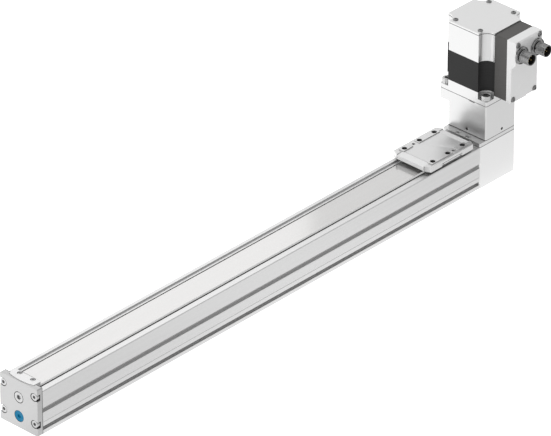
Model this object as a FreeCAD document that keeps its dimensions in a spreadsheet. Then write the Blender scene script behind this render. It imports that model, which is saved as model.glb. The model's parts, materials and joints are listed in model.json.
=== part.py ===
import FreeCAD, Part
import math
import os
import re
import Sketcher
from FreeCAD import Placement, Rotation, Vector

# Belt driven linear axis: a slim aluminium profile with a rail guided slide, a toothed belt that runs on
# edge inside it, and an upright stepper motor with its electronics on the drive end.
# Frame: X along the axis towards the drive end, Z up, origin at the middle of the profile's underside.
# The electronics side is -Y. All sizes are in millimetres.

SIZES = {
    # Profile
    "axis_width": 45,            # across the profile, the cap, the housing and the slide
    "profile_len": 560.8,
    "profile_tall": 43,          # underside to the top lands
    "wall": 4.3,                 # side wall, seen from above as the top land
    "floor_thick": 6,
    "edge_break": 0.6,
    "boss_reach": 7.6,           # outer face to the inner face of the screw bosses
    "top_boss_tall": 6.2,
    "shelf_drop": 1.4,           # top lands to the top of the screw bosses
    "low_boss_top": 14,
    "port_bore": 3.3,            # core hole for the thread forming end screws
    "screw_side": 18.4,          # end screws, from the middle plane
    "screw_drop": 4.7,           # top lands to the upper end screws
    "screw_low": 11.1,
    "groove_low": 21.7,          # sensor groove in the side
    "groove_tall": 4.7,
    "groove_deep": 2.9,
    "line_high": 12.2,           # fine guide line in the side
    "line_deep": 0.3,
    "slot_low": 4.2,             # clamping slot in the side
    "slot_mouth": 3.75,
    "slot_lip": 1.2,
    "slot_undercut": 0.8,
    "slot_deep": 3.4,
    # Guide rail and its screws
    "rail_wide": 12,
    "rail_tall": 8,
    "rail_waist": 1.1,           # depth of the ball track in the rail's flank
    "rail_inset": 3,             # profile end to rail end
    "rail_pitch": 50,            # from one rail screw to the next
    "rail_hole": 3.4,
    "rail_thread": 3.1,
    "rail_thread_deep": 4.6,
    "rail_counterbore": 6,
    "rail_counterbore_deep": 4.5,
    # Cover strip
    "strip_half": 12.4,
    "strip_thick": 0.4,
    "strip_fold": 2,             # depth of its edges, which are turned down
    "fold_gap": 0.4,             # profile end to the end of these edges
    "strip_drop": 0.3,           # top lands to the strip's top
    "strip_tuck": 1.5,           # how far the strip reaches into the cap
    "strip_screw_dia": 2.4,
    "strip_head_dia": 4.2,
    "strip_head_tall": 1.8,
    # End cap
    "cap_thick": 6.3,
    "cap_rise": 4,               # top lands to the cap's top
    "cap_edge": 0.8,
    "cap_recess": 3.6,           # depth of the recesses for the corner screws
    "recess_dia": 8,
    "notch_tall": 6.4,           # where a recess opens to the side
    "cap_boss_dia": 15,
    "cap_boss_len": 4.4,
    "end_head_dia": 7,
    "end_head_tall": 3.4,
    "end_screw_long": 14,
    "end_thread_long": 10,
    "tension_dia": 6,
    "tension_head_dia": 10,
    "tension_head_tall": 4,
    "tongue_half": 11.8,         # tongue under the strip, reaching into the profile
    "tongue_len": 11.5,
    "tongue_tall": 3.6,
    "tension_drop": 12.5,        # top lands to the tension screw and the belt's middle
    "plug_high": 11.6,
    "plug_dia": 11,
    "plug_deep": 3.5,
    "plug_bore": 5.5,
    "plug_stem": 2,
    # Strip clamp on the cap
    "clamp_half": 15,
    "clamp_rise": 0.4,           # cap's top to the clamp's top
    "clamp_over": 6.2,           # how far the clamp reaches over the profile
    "clamp_front": 1.6,          # cap face to the middle of the clamp's curved front
    "clamp_bow": 2.4,            # height of that curve
    "clamp_play": 0.1,
    "clamp_screw_side": 7.9,
    "clamp_screw_in": 3.6,
    # Drive housing and top plate
    "housing_len": 48,
    "housing_rise": 0.3,         # top lands to the housing's top
    "plate_thick": 3.6,
    "shaft_inset": 29.2,         # profile end to the motor axis
    "housing_edge": 0.8,
    "chamber_bore": 25,
    "collar_tall": 0.6,
    "collar_dia": 11,
    "housing_grip": 12,          # length of the housing that its screws clamp
    "housing_head_dia": 5.8,
    "strip_seat": 7.5,           # length of the strip that the top plate grips
    "far_screw_in": 2.4,
    "far_screw_side": 6,
    "far_thread_deep": 4,
    # Belt and pulleys
    "belt_pitch": 5,
    "pulley_teeth": 12,
    "belt_wide": 10,
    "tooth_tall": 1.2,
    "tooth_root": 2.65,
    "tooth_tip": 1.78,
    "cord_depth": 0.42,          # belt's tooth base to its pitch line
    "back_thick": 0.58,          # pitch line to the belt's back
    "mesh_play": 0.14,           # belt to pulley
    "side_play": 0.4,            # belt edge to a flange or a prong
    "idler_inset": 25,           # profile end to the idler axis
    "flange_thick": 1,
    "flange_dia": 22.6,
    # Idler yoke
    "yoke_half": 12.2,
    "prong_half": 6.8,
    "prong_thick": 2.3,
    "yoke_back": 8.6,
    "yoke_gap": 0.7,             # belt to the yoke's block
    "pin_dia": 5,
    "idler_bearing_dia": 9,
    "idler_bearing_wide": 3,
    # Shaft, bearings and coupling
    "shaft_dia": 8,
    "bearing_dia": 19,
    "bearing_wide": 6,
    "ring_gap": 0.35,
    "shaft_drop": 16.5,          # belt's middle to the lower end of the shaft
    "hub_dia": 25,
    "hub_long": 11,
    "hub_gap": 0.9,              # top plate to the lower hub
    "jaw_long": 9,
    "jaw_play": 0.25,
    "spider_arm": 5,
    "spider_tall": 9,
    "jaw_inner": 5,
    "set_screw_dia": 4,
    "set_screw_long": 6,
    # Coupling housing
    "tower_long": 40.2,          # along the axis
    "tower_half": 22.8,          # across, from the middle plane
    "tower_front": 21.9,         # motor axis to the face towards the slide
    "tower_edge": 1,
    "tower_bore": 31,
    "tower_tall": 40.1,          # top plate to the motor
    "tower_flange": 11,          # height of the square flange of the tower
    "tower_screw_side": 13.2,
    "tower_screw_near": 17.3,
    "tower_screw_far": 13.8,
    "tower_floor": 5.1,          # floor that the tower's screws clamp
    "tower_screw_dia": 3,
    "tower_head_dia": 5.5,
    "tower_head_tall": 3,
    "tower_thread_deep": 8,
    "pry_side": 8,               # small pry slot under the motor
    "pry_wide": 6,
    "pry_tall": 1.5,
    "access_dia": 2.8,
    "set_screw_rise": 3.2,       # lower hub's underside to its set screws and the access holes
    # Motor
    "motor_side": 56,
    "motor_edge": 1.2,
    "corner_leg": 10.2,          # side length taken by each hollow corner
    "corner_bow": 3.8,           # depth of the hollow below its chord
    "lug_thick": 4.2,
    "motor_flange": 11,          # height of the motor's front flange
    "rear_high": 156.6,          # top of the motor's rear housing
    "rear_tall": 28.2,           # height of that housing, from the stack's top
    "motor_cover": 1.8,
    "pilot_dia": 38.1,
    "pilot_deep": 1.6,
    "bolt_side": 23.57,          # motor screws, from the motor axis
    "motor_screw_dia": 5,
    "motor_head_dia": 8.5,
    "motor_head_tall": 5,
    "motor_shaft_out": 17.5,     # motor's front face to the end of its shaft
    "motor_shaft_tail": 13.6,    # stack's top to the rear end of the shaft
    "stator_bore": 31,
    "rotor_dia": 30.2,
    "rotor_gap": 3,              # rotor to the bearings, along the shaft
    "magnet_tall": 3,
    "encoder_room": 44,
    "cover_screw_fore": 22.5,
    "cover_screw_side": 14.7,
    "cover_screw_dia": 2.5,
    "cover_head_dia": 5,
    "cover_head_tall": 0.9,
    "cover_thread_deep": 6,
    # Electronics
    "module_half": 17.8,
    "module_rise": 6.6,          # motor's front face to the electronics' underside
    "module_high": 157.4,
    "frame_deep": 14.5,
    "cover_deep": 5.5,
    "bulge_deep": 5,             # the upper part of the cover stands out further
    "bulge_tall": 27.9,
    "bulge_slope": 5,
    "shell_wall": 1.8,
    "frame_wall": 2.4,
    "module_edge": 1,
    "spacer_tall": 5,
    "spacer_dia": 3,
    "board_thick": 1.6,
    "connector_side": 10.7,
    "connector_drop": 14.4,      # module's top to the connectors
    "connector_dia": 12,
    "connector_long": 13,
    "connector_base": 17,
    "connector_base_thick": 2,
    "connector_wall": 1,
    "insert_deep": 8,            # rim to the face of the insert
    "module_screw_side": 14.6,
    "module_screw_in": 3.2,      # from the lower and upper edge of the cover
    "module_screw_dia": 2.4,
    "module_head_dia": 5.2,
    "module_head_tall": 1.8,
    "module_head_out": 1.1,      # how far the heads stand out of the cover
    "module_thread_deep": 5,
    "module_pillar": 5,
    "pin_thick": 1,
    "pin_long": 5.5,
    "pin_circle": 2.5,
    # Slide
    "slide_len": 62,
    "slide_clear": 1.9,          # top lands to the slide
    "slide_thick": 6,
    "slide_gap": 6.8,            # to the drive housing, as the slide stands at rest
    "slide_corner": 2.8,
    "slide_corner_side": 5.5,
    "pad_tall": 0.8,
    "pad_half": 3,
    "hole_side": 17,
    "hole_pitch": 20,
    "thread_bore": 5,
    "thread_deep": 7,
    "pad_short": 13,
    "pad_long": 28,
    "pad_end": 24.5,
    "pin_bore": 3,
    "pin_deep": 4,
    "pin_fore": 7.8,
    "guide_len": 7.4,            # strip guide bar at each end of the slide
    "guide_half": 16.1,
    "guide_clear": 2.3,          # strip to the guide bars
    "nose_drop": 1.1,
    "guide_lead": 0.8,
    "guide_play": 0.1,
    "web_play": 0.5,
    "web_half": 26,
    "web_foot": 1.5,             # saddle's underside to the webs' lower ends
    "saddle_drop": 11.5,         # belt's middle to the saddle's underside
    "saddle_thick": 3,
    "saddle_half": 28,
    "saddle_play": 0.05,
    "saddle_screw_fore": 20,
    "saddle_screw_dia": 2.5,
    "saddle_head_dia": 4.4,
    "saddle_head_tall": 1.6,
    "saddle_screw_long": 7,
    "carriage_len": 45.4,
    "carriage_half": 12.6,
    "carriage_low": 9,
    "rail_play": 0.25,
    "seal_len": 5,
    "clamp_jaw_len": 25,
    "clamp_jaw_start": 3,        # slide middle to the belt clamp
    "clamp_jaw_rise": 9.5,       # belt's middle to the clamp's top
    "clamp_jaw_in": 2.5,         # middle plane to the clamp jaw
    "clamp_screw_dia": 3,
    "clamp_screw_head": 5.5,
    "clamp_screw_head_tall": 2.4,
    "clamp_screw_fore": 8,
    "clamp_screw_drop": 2,       # clamp's top to the screw's axis
    "belt_end_gap": 1.2,         # between the two ends of the belt
    "carriage_screw_side": 10,
    "carriage_screw_dia": 3,
    "carriage_head_dia": 5.5,
    "carriage_head_tall": 1.7,
    "carriage_thread_deep": 3.5,
    "lube_half": 13.5,
    "lube_rise": 0.7,            # slide's underside to the cover
    "lube_tall": 2.8,
    "lube_deep": 1.2,
    "lube_drop": 0.3,            # slide's side to the cover's face
    "lube_screw_fore": 11.4,
    "lube_screw_dia": 1.6,
    "buffer_dia": 4.6,
    "buffer_side": 9.5,
    "buffer_rise": 0.5,          # saddle's underside to the buffers' middle
    "travel_loss": 80.8,         # profile's length to the slide's travel to the near buffers
    "far_reach": 4,              # slide travel to the far buffers
    "stop_gap": 0.3,
}

# Heights and reaches that follow from the sizes, as formulas in the same sheet
FOLLOWING = {
    "screw_high": "profile_tall - screw_drop",
    "tension_high": "profile_tall - tension_drop",
    "cap_tall": "profile_tall + cap_rise",
    "clamp_top": "cap_tall + clamp_rise",
    "housing_tall": "profile_tall + housing_rise",
    "plate_top": "housing_tall + plate_thick",
    "shaft_bottom": "tension_high - shaft_drop",
    "hub_low": "plate_top + hub_gap",
    "access_high": "hub_low + set_screw_rise",
    "tower_seat": "plate_top + tower_floor",
    "motor_low": "plate_top + tower_tall",
    "tower_neck": "motor_low - tower_flange",
    "flange_high": "motor_low + motor_flange",
    "stack_high": "rear_high - rear_tall",
    "cover_high": "rear_high + motor_cover",
    "motor_shaft_low": "motor_low - motor_shaft_out",
    "motor_shaft_high": "stack_high + motor_shaft_tail",
    "module_low": "motor_low + module_rise",
    "bulge_low": "module_high - bulge_tall",
    "connector_high": "module_high - connector_drop",
    "slide_low": "profile_tall + slide_clear",
    "slide_top": "slide_low + slide_thick",
    "guide_low": "profile_tall - strip_drop + guide_clear",
    "guide_nose": "slide_top - nose_drop",
    "lube_low": "slide_low + lube_rise",
    "saddle_low": "tension_high - saddle_drop",
    "web_low": "saddle_low - web_foot",
    "clamp_jaw_top": "tension_high + clamp_jaw_rise",
    "buffer_high": "saddle_low + buffer_rise",
    "near_reach": "profile_len - travel_loss",
}
NAMED = list(SIZES) + list(FOLLOWING)

doc = FreeCAD.newDocument("linear_axis")
sheet = doc.addObject("Spreadsheet::Sheet", "size")
for row, alias in enumerate(NAMED, start=1):
    sheet.setAlias(f"A{row}", alias)
for row, alias in enumerate(NAMED, start=1):
    sheet.set(f"A{row}", str(SIZES[alias]) if alias in SIZES else "=" + FOLLOWING[alias])
doc.recompute()

# Places that follow from the driving sizes
NEAR = "(-profile_len / 2)"
FAR = "(profile_len / 2)"
HALF = "(axis_width / 2)"
MOTOR_X = "(profile_len / 2 + shaft_inset)"
IDLER_X = "(-profile_len / 2 + idler_inset)"
SLIDE_X = "(profile_len / 2 - slide_gap - slide_len / 2)"
BOSS_IN = "(axis_width / 2 - boss_reach)"
STRIP_TOP = "(profile_tall - strip_drop)"
STRIP_LOW = "(profile_tall - strip_drop - strip_thick)"
PITCH_R = "(belt_pitch * pulley_teeth / (2 * pi))"
BELT_LOW = "(tension_high - belt_wide / 2)"
BELT_TOP = "(tension_high + belt_wide / 2)"
PLATE_TOP = "plate_top"
SADDLE_TOP = "(saddle_low + saddle_thick)"
WEB_IN = "(strip_half + web_play)"
WEB_OUT = f"({BOSS_IN} - web_play)"
MOTOR_HALF = "(motor_side / 2)"
FRAME_Y = "(motor_side / 2 + frame_deep)"
COVER_Y = f"({FRAME_Y} + cover_deep)"
BULGE_Y = f"({COVER_Y} + bulge_deep)"

NODES = []


def tied(text):
    """Puts the sheet's name before each size that an expression uses."""
    return re.sub(r"[a-z]\w*", lambda m: "size." + m[0] if m[0] in NAMED else m[0], str(text))


def number(text):
    """The present value of an expression."""
    return float(sheet.evalExpression(tied(text)))


def bind(thing, **properties):
    """Ties properties of an object to expressions, with a double underscore for a dot in the name."""
    for name, text in properties.items():
        thing.setExpression(name.replace("__", "."), tied(text))


def place(thing, x="0", y="0", z="0", turn=None):
    """Sets a placement: a fixed turn and a position that follows the sizes."""
    if turn is not None:
        thing.Placement = Placement(Vector(), turn)
    for axis, text in zip("xyz", (x, y, z)):
        thing.setExpression(f"Placement.Base.{axis}", tied(text))


def node(thing, label):
    """Marks an object as one piece of the product."""
    thing.Label = label
    NODES.append(thing)
    return thing


UP_TO_X = Rotation(Vector(0, 1, 0), 90)      # local Z becomes +X
UP_TO_MINUS_X = Rotation(Vector(0, 1, 0), -90)
UP_TO_MINUS_Y = Rotation(Vector(1, 0, 0), 90)
UP_TO_Y = Rotation(Vector(1, 0, 0), -90)
SIDES = ((-1, UP_TO_MINUS_Y), (1, UP_TO_Y))


def body(name):
    return doc.addObject("PartDesign::Body", name)


def sketch(owner, plane="XY", height="0"):
    """A sketch on one of the body's own planes, at a height along that plane's normal."""
    drawing = owner.newObject("Sketcher::SketchObject", owner.Name + "_sketch")
    base = [f for f in owner.Origin.OriginFeatures if f.Role == plane + "_Plane"][0]
    drawing.AttachmentSupport = (base, [""])
    drawing.MapMode = "FlatFace"
    drawing.setExpression("AttachmentOffset.Base.z", tied(height))
    return drawing


def hold(drawing, rules):
    """Adds constraints, each with the expression that drives it, in one go."""
    first = drawing.ConstraintCount
    drawing.addConstraint([rule for rule, text in rules])
    for offset, (rule, text) in enumerate(rules):
        if text is not None:
            drawing.setExpression(f"Constraints[{first + offset}]", tied(text))


def outline(drawing, corners):
    """A closed outline. A corner is (x, y), or (x, y, radius) where the edge that leaves it is an arc:
    a positive radius turns left on the way to the next corner, a negative one turns right."""
    count = len(corners)
    spots = [Vector(number(c[0]), number(c[1]), 0) for c in corners]
    start = drawing.GeometryCount
    rules = []
    shapes = []
    ends = []
    for i, corner in enumerate(corners):
        a, b = spots[i], spots[(i + 1) % count]
        if len(corner) == 2:
            shapes.append(Part.LineSegment(a, b))
            ends.append((1, 2))
            continue
        radius = number(corner[2])
        chord = b - a
        left = Vector(-chord.y, chord.x, 0).normalize()
        side = math.copysign(math.sqrt(max(radius**2 - (chord.Length / 2)**2, 0)), radius)
        middle = a + chord / 2 + left * side
        angles = [math.atan2((p - middle).y, (p - middle).x) for p in (a, b)]
        if radius < 0:
            angles.reverse()
        circle = Part.Circle(middle, Vector(0, 0, 1), abs(radius))
        shapes.append(Part.ArcOfCircle(circle, angles[0], angles[1]))
        ends.append((1, 2) if radius > 0 else (2, 1))
        size = corner[2] if radius > 0 else f"-({corner[2]})"
        rules.append((Sketcher.Constraint("Radius", start + i, abs(radius)), size))
    drawing.addGeometry(shapes)
    for i, corner in enumerate(corners):
        j = (i + 1) % count
        rules.append((Sketcher.Constraint("Coincident", start + i, ends[i][1], start + j, ends[j][0]), None))
        for kind, text in (("DistanceX", corner[0]), ("DistanceY", corner[1])):
            where = spots[i].x if kind == "DistanceX" else spots[i].y
            rules.append((Sketcher.Constraint(kind, -1, 1, start + i, ends[i][0], where), text))
    hold(drawing, rules)


def ring(drawing, x, y, diameter):
    """A circle in a sketch."""
    index = drawing.GeometryCount
    middle = Vector(number(x), number(y), 0)
    drawing.addGeometry(Part.Circle(middle, Vector(0, 0, 1), number(diameter) / 2))
    hold(drawing, [
        (Sketcher.Constraint("Radius", index, number(diameter) / 2), f"({diameter}) / 2"),
        (Sketcher.Constraint("DistanceX", -1, 1, index, 3, middle.x), x),
        (Sketcher.Constraint("DistanceY", -1, 1, index, 3, middle.y), y),
    ])


def box_outline(drawing, x0, y0, x1, y1):
    outline(drawing, [(x0, y0), (x1, y0), (x1, y1), (x0, y1)])


def cut_box_outline(drawing, x0, y0, x1, y1, edge):
    """A rectangle with its four corners cut at 45 degrees."""
    outline(drawing, [
        (f"({x0}) + {edge}", y0), (f"({x1}) - {edge}", y0), (x1, f"({y0}) + {edge}"),
        (x1, f"({y1}) - {edge}"), (f"({x1}) - {edge}", y1), (f"({x0}) + {edge}", y1),
        (x0, f"({y1}) - {edge}"), (x0, f"({y0}) + {edge}"),
    ])


def mirrored(right):
    """A symmetric outline from its right half, arcs included."""
    left = []
    for k in range(len(right) - 1, -1, -1):
        arc = right[k - 1][2:] if k > 0 else ()
        left.append((f"-({right[k][0]})", right[k][1], *arc))
    return list(right) + left


def raised(owner, drawing, length, back=False):
    """A pad of the sketch along its plane's normal, or against it."""
    pad = owner.newObject("PartDesign::Pad", owner.Name + "_pad")
    pad.Profile = drawing
    pad.Reversed = back
    bind(pad, Length=length)
    return pad


def sunk(owner, drawing, depth=None, back=False):
    """A pocket against the normal of the sketch's plane, or along it with back set. No depth cuts all."""
    doc.recompute()
    before = owner.Tip.Shape.Volume
    cut = owner.newObject("PartDesign::Pocket", owner.Name + "_pocket")
    cut.Profile = drawing
    cut.Reversed = back
    if depth is None:
        cut.Type = "ThroughAll"
        cut.Midplane = True
    else:
        bind(cut, Length=depth)
    doc.recompute()
    assert cut.Shape.Volume < before - 1e-6, f"{owner.Name}: a pocket cuts nothing"
    return cut


def turned(name, half_section):
    """A body made by turning a half section (radius, height) about the local Z axis."""
    owner = body(name)
    drawing = sketch(owner, "XZ")
    outline(drawing, half_section)
    spin = owner.newObject("PartDesign::Revolution", name + "_turn")
    spin.Profile = drawing
    spin.ReferenceAxis = (drawing, ["V_Axis"])
    spin.Angle = 360
    return owner


def tube_section(inner, outer, low, high):
    return [(inner, low), (outer, low), (outer, high), (inner, high)]


def screw(name, head_dia, head_tall, shank_dia, shank_long, key=0.5):
    """One screw with its head's top at the origin and the shank pointing down. The key is the socket's
    width across corners, as a share of the head."""
    owner = body(name)
    drawing = sketch(owner, "XZ")
    r, s = f"({head_dia}) / 2", f"({shank_dia}) / 2"
    end = f"-({head_tall}) - ({shank_long})"
    outline(drawing, [("0", end), (s, end), (s, f"-({head_tall})"), (r, f"-({head_tall})"), (r, "0"),
                      ("0", "0")])
    spin = owner.newObject("PartDesign::Revolution", name + "_turn")
    spin.Profile = drawing
    spin.ReferenceAxis = (drawing, ["V_Axis"])
    spin.Angle = 360
    socket = sketch(owner)
    across = f"({head_dia}) * {key} / 2"
    outline(socket, [(f"{across} * cos({60 * k})", f"{across} * sin({60 * k})") for k in range(6)])
    sunk(owner, socket, f"({head_tall}) * 0.55")
    return owner


def gathered(label, copies):
    """Small pieces as one node, each a copy of a master: (master, x, y, z, turn)."""
    links = []
    for i, (master, x, y, z, turn) in enumerate(copies):
        copy = doc.addObject("App::Link", f"{label}_{i + 1}")
        copy.LinkedObject = master
        place(copy, x, y, z, turn)
        links.append(copy)
    together = doc.addObject("Part::Compound", label)
    together.Links = links
    return node(together, label)


def group(label, master, spots, turn=Rotation()):
    """Identical pieces as one node: a copy of the master at each spot (x, y, z)."""
    return gathered(label, [(master, x, y, z, turn) for x, y, z in spots])


def rings(drawing, spots, diameter):
    for x, y in spots:
        ring(drawing, x, y, diameter)


def corners_of(dx, dy):
    """Four spots about the origin."""
    return [(f"{i} * ({dx})", f"{j} * ({dy})") for i in (1, -1) for j in (1, -1)]


RAIL_LEN = "(profile_len - 2 * rail_inset)"
RAIL_TOP = "(floor_thick + rail_tall)"
RAIL_COUNT = "(floor((profile_len - 2 * rail_inset - rail_wide) / rail_pitch) + 1)"
RAIL_FIRST = f"(-({RAIL_COUNT} - 1) / 2 * rail_pitch)"


def row_of_holes(owner, cuts, drawing):
    """Repeats the first rail hole along the axis."""
    row = owner.newObject("PartDesign::LinearPattern", owner.Name + "_row")
    row.Originals = cuts
    row.Direction = (drawing, ["H_Axis"])
    row.Mode = "Spacing"
    bind(row, Offset="rail_pitch", Occurrences=RAIL_COUNT)
    owner.Tip = row


END_SCREWS = [(f"{side} * screw_side", high) for side in (1, -1) for high in ("screw_high", "screw_low")]
INNER = f"({HALF} - wall)"
BOSS_LOW = "(profile_tall - shelf_drop - top_boss_tall)"


def profile():
    """Extruded profile: an open channel with a screw port in each corner."""
    owner = body("profile")
    cross = sketch(owner, "YZ", NEAR)
    slot_top = "slot_low + slot_mouth"
    outline(cross, mirrored([
        (f"{HALF} - edge_break", "0"), (HALF, "edge_break"),
        (HALF, "slot_low"), (f"{HALF} - slot_lip", "slot_low"),
        (f"{HALF} - slot_lip", "slot_low - slot_undercut"),
        (f"{HALF} - slot_deep", "slot_low - slot_undercut"),
        (f"{HALF} - slot_deep", f"{slot_top} + slot_undercut"),
        (f"{HALF} - slot_lip", f"{slot_top} + slot_undercut"),
        (f"{HALF} - slot_lip", slot_top), (HALF, slot_top),
        (HALF, "line_high - line_deep"), (f"{HALF} - line_deep", "line_high"),
        (HALF, "line_high + line_deep"),
        (HALF, "groove_low"), (f"{HALF} - groove_deep", "groove_low"),
        (f"{HALF} - groove_deep", "groove_low + groove_tall"), (HALF, "groove_low + groove_tall"),
        (HALF, "profile_tall - edge_break"), (f"{HALF} - edge_break", "profile_tall"),
        (INNER, "profile_tall"), (INNER, "profile_tall - shelf_drop"),
        (BOSS_IN, "profile_tall - shelf_drop"), (BOSS_IN, BOSS_LOW),
        (INNER, f"{BOSS_LOW} - (boss_reach - wall) / 2"),
        (INNER, "low_boss_top"), (BOSS_IN, "low_boss_top"), (BOSS_IN, "floor_thick"),
    ]))
    rings(cross, END_SCREWS, "port_bore")
    raised(owner, cross, "profile_len")
    thread = sketch(owner, "XY", "floor_thick")
    ring(thread, RAIL_FIRST, "0", "rail_thread")
    drilled = sunk(owner, thread, "rail_thread_deep")
    row_of_holes(owner, [drilled], thread)
    return node(owner, "profile")


def rail_flank(play):
    """The rail's cross section from its foot up to its top, widened by a play."""
    half = f"rail_wide / 2 + {play}"
    return [
        (half, "floor_thick + rail_tall * 0.35"), (f"{half} - rail_waist", "floor_thick + rail_tall * 0.48"),
        (f"{half} - rail_waist", "floor_thick + rail_tall * 0.68"), (half, "floor_thick + rail_tall * 0.81"),
        (half, f"{RAIL_TOP} - 0.5 + {play}"), (f"{half} - 0.5", f"{RAIL_TOP} + {play}"),
    ]


def guide_rail():
    """Hardened guide rail with a row of counterbored holes."""
    owner = body("guide_rail")
    cross = sketch(owner, "YZ", f"{NEAR} + rail_inset")
    outline(cross, mirrored([("rail_wide / 2", "floor_thick")] + rail_flank("0")))
    raised(owner, cross, RAIL_LEN)
    hole = sketch(owner, "XY", RAIL_TOP)
    ring(hole, RAIL_FIRST, "0", "rail_hole")
    drilled = sunk(owner, hole)
    head = sketch(owner, "XY", RAIL_TOP)
    ring(head, RAIL_FIRST, "0", "rail_counterbore")
    sunken = sunk(owner, head, "rail_counterbore_deep")
    row_of_holes(owner, [drilled, sunken], head)
    return node(owner, "guide_rail")


def rail_screws():
    one = screw("rail_screw", "rail_counterbore - 0.3", "rail_counterbore_deep - 0.8", "rail_thread - 0.1",
                "rail_tall - rail_counterbore_deep + rail_thread_deep - 0.4", key=0.55)
    count = int(round(number(RAIL_COUNT)))
    spots = [(f"{RAIL_FIRST} + {k} * rail_pitch", "0", f"{RAIL_TOP} - 0.8") for k in range(count)]
    return group("rail_screws", one, spots)


STRIP_FROM = f"({NEAR} - strip_tuck)"
STRIP_TO = f"({FAR} + strip_seat)"
CAP_FACE = f"({NEAR} - cap_thick)"
CLAMP_R = "((clamp_half^2 + clamp_bow^2) / (2 * clamp_bow))"
NEAR_STRIP_SCREWS = [(f"{NEAR} + clamp_screw_in", f"{side} * clamp_screw_side") for side in (1, -1)]
FAR_STRIP_SCREWS = [(f"{FAR} + far_screw_in", f"{side} * far_screw_side") for side in (1, -1)]


def cover_strip():
    """Thin steel strip over the channel, held at both ends. Its long edges are turned down."""
    owner = body("cover_strip")
    plan = sketch(owner, "XY", STRIP_LOW)
    box_outline(plan, STRIP_FROM, "-strip_half", STRIP_TO, "strip_half")
    rings(plan, NEAR_STRIP_SCREWS + FAR_STRIP_SCREWS, "strip_screw_dia + 0.4")
    raised(owner, plan, "strip_thick")
    folds = sketch(owner, "XY", STRIP_TOP)
    box_outline(folds, f"{NEAR} + fold_gap", "strip_half - strip_thick", f"{FAR} - fold_gap", "strip_half")
    box_outline(folds, f"{NEAR} + fold_gap", "-strip_half", f"{FAR} - fold_gap", "-strip_half + strip_thick")
    raised(owner, folds, "strip_fold", back=True)
    return node(owner, "cover_strip")


def end_cap():
    """Cap at the near end: recesses for its screws, a boss for the tension screw, a tongue for the strip."""
    owner = body("end_cap")
    face = sketch(owner, "YZ", CAP_FACE)
    cut_box_outline(face, f"-{HALF}", "0", HALF, "cap_tall", "cap_edge")
    raised(owner, face, "cap_thick")
    tongue = sketch(owner, "YZ", NEAR)
    box_outline(tongue, "-tongue_half", f"{STRIP_LOW} - tongue_tall", "tongue_half", STRIP_LOW)
    raised(owner, tongue, "tongue_len")
    boss = sketch(owner, "YZ", NEAR)
    ring(boss, "0", "tension_high", "cap_boss_dia")
    raised(owner, boss, "cap_boss_len")
    seat = sketch(owner, "XY", STRIP_LOW)
    front = "clamp_half + clamp_play"
    outline(seat, [
        (NEAR, f"-({front})"), (NEAR, front),
        (f"{CAP_FACE} + clamp_front + clamp_bow - clamp_play", front, CLAMP_R),
        (f"{CAP_FACE} + clamp_front + clamp_bow - clamp_play", f"-({front})"),
    ])
    sunk(owner, seat, "cap_tall - profile_tall + strip_drop + strip_thick", back=True)
    recess = sketch(owner, "YZ", CAP_FACE)
    rings(recess, END_SCREWS, "recess_dia")
    sunk(owner, recess, "cap_recess", back=True)
    for side in (1, -1):
        notch = sketch(owner, "YZ", CAP_FACE)
        for high in ("screw_high", "screw_low"):
            inner, outer = ("screw_side", HALF) if side > 0 else (f"-{HALF}", "-screw_side")
            box_outline(notch, inner, f"{high} - notch_tall / 2", outer, f"{high} + notch_tall / 2")
        sunk(owner, notch, "cap_recess", back=True)
    holes = sketch(owner, "YZ", CAP_FACE)
    rings(holes, END_SCREWS, "port_bore + 1")
    rings(holes, [("0", "tension_high")], "tension_dia + 0.4")
    rings(holes, [("0", "plug_high")], "plug_bore")
    sunk(owner, holes)
    head = sketch(owner, "YZ", CAP_FACE)
    ring(head, "0", "tension_high", "tension_head_dia + 1")
    sunk(owner, head, "tension_head_tall + 0.2", back=True)
    port = sketch(owner, "YZ", CAP_FACE)
    ring(port, "0", "plug_high", "plug_dia")
    sunk(owner, port, "plug_deep", back=True)
    threads = sketch(owner, "XY", STRIP_LOW)
    rings(threads, NEAR_STRIP_SCREWS, "strip_screw_dia")
    sunk(owner, threads, "tongue_tall")
    return node(owner, "end_cap")


def end_cap_screws():
    one = screw("end_cap_screw", "end_head_dia", "end_head_tall", "port_bore - 0.1", "end_screw_long")
    seat = f"{CAP_FACE} + cap_recess - end_head_tall"
    return group("end_cap_screws", one, [(seat, y, z) for y, z in END_SCREWS], UP_TO_MINUS_X)


def strip_clamp():
    """Block that clamps the near end of the strip, with a curved front."""
    owner = body("strip_clamp")
    plan = sketch(owner, "XY", STRIP_TOP)
    front = f"{CAP_FACE} + clamp_front + clamp_bow"
    rear = f"{NEAR} + clamp_over"
    outline(plan, [
        (f"{rear} - cap_edge", "-clamp_half"), (rear, "-clamp_half + cap_edge"),
        (rear, "clamp_half - cap_edge"), (f"{rear} - cap_edge", "clamp_half"),
        (front, "clamp_half", CLAMP_R), (front, "-clamp_half"),
    ])
    raised(owner, plan, f"clamp_top - {STRIP_TOP}")
    holes = sketch(owner, "XY", "clamp_top")
    rings(holes, NEAR_STRIP_SCREWS, "strip_screw_dia + 0.4")
    sunk(owner, holes)
    heads = sketch(owner, "XY", "clamp_top")
    rings(heads, NEAR_STRIP_SCREWS, "strip_head_dia + 0.4")
    sunk(owner, heads, "strip_head_tall + 0.2")
    return node(owner, "strip_clamp")


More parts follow.
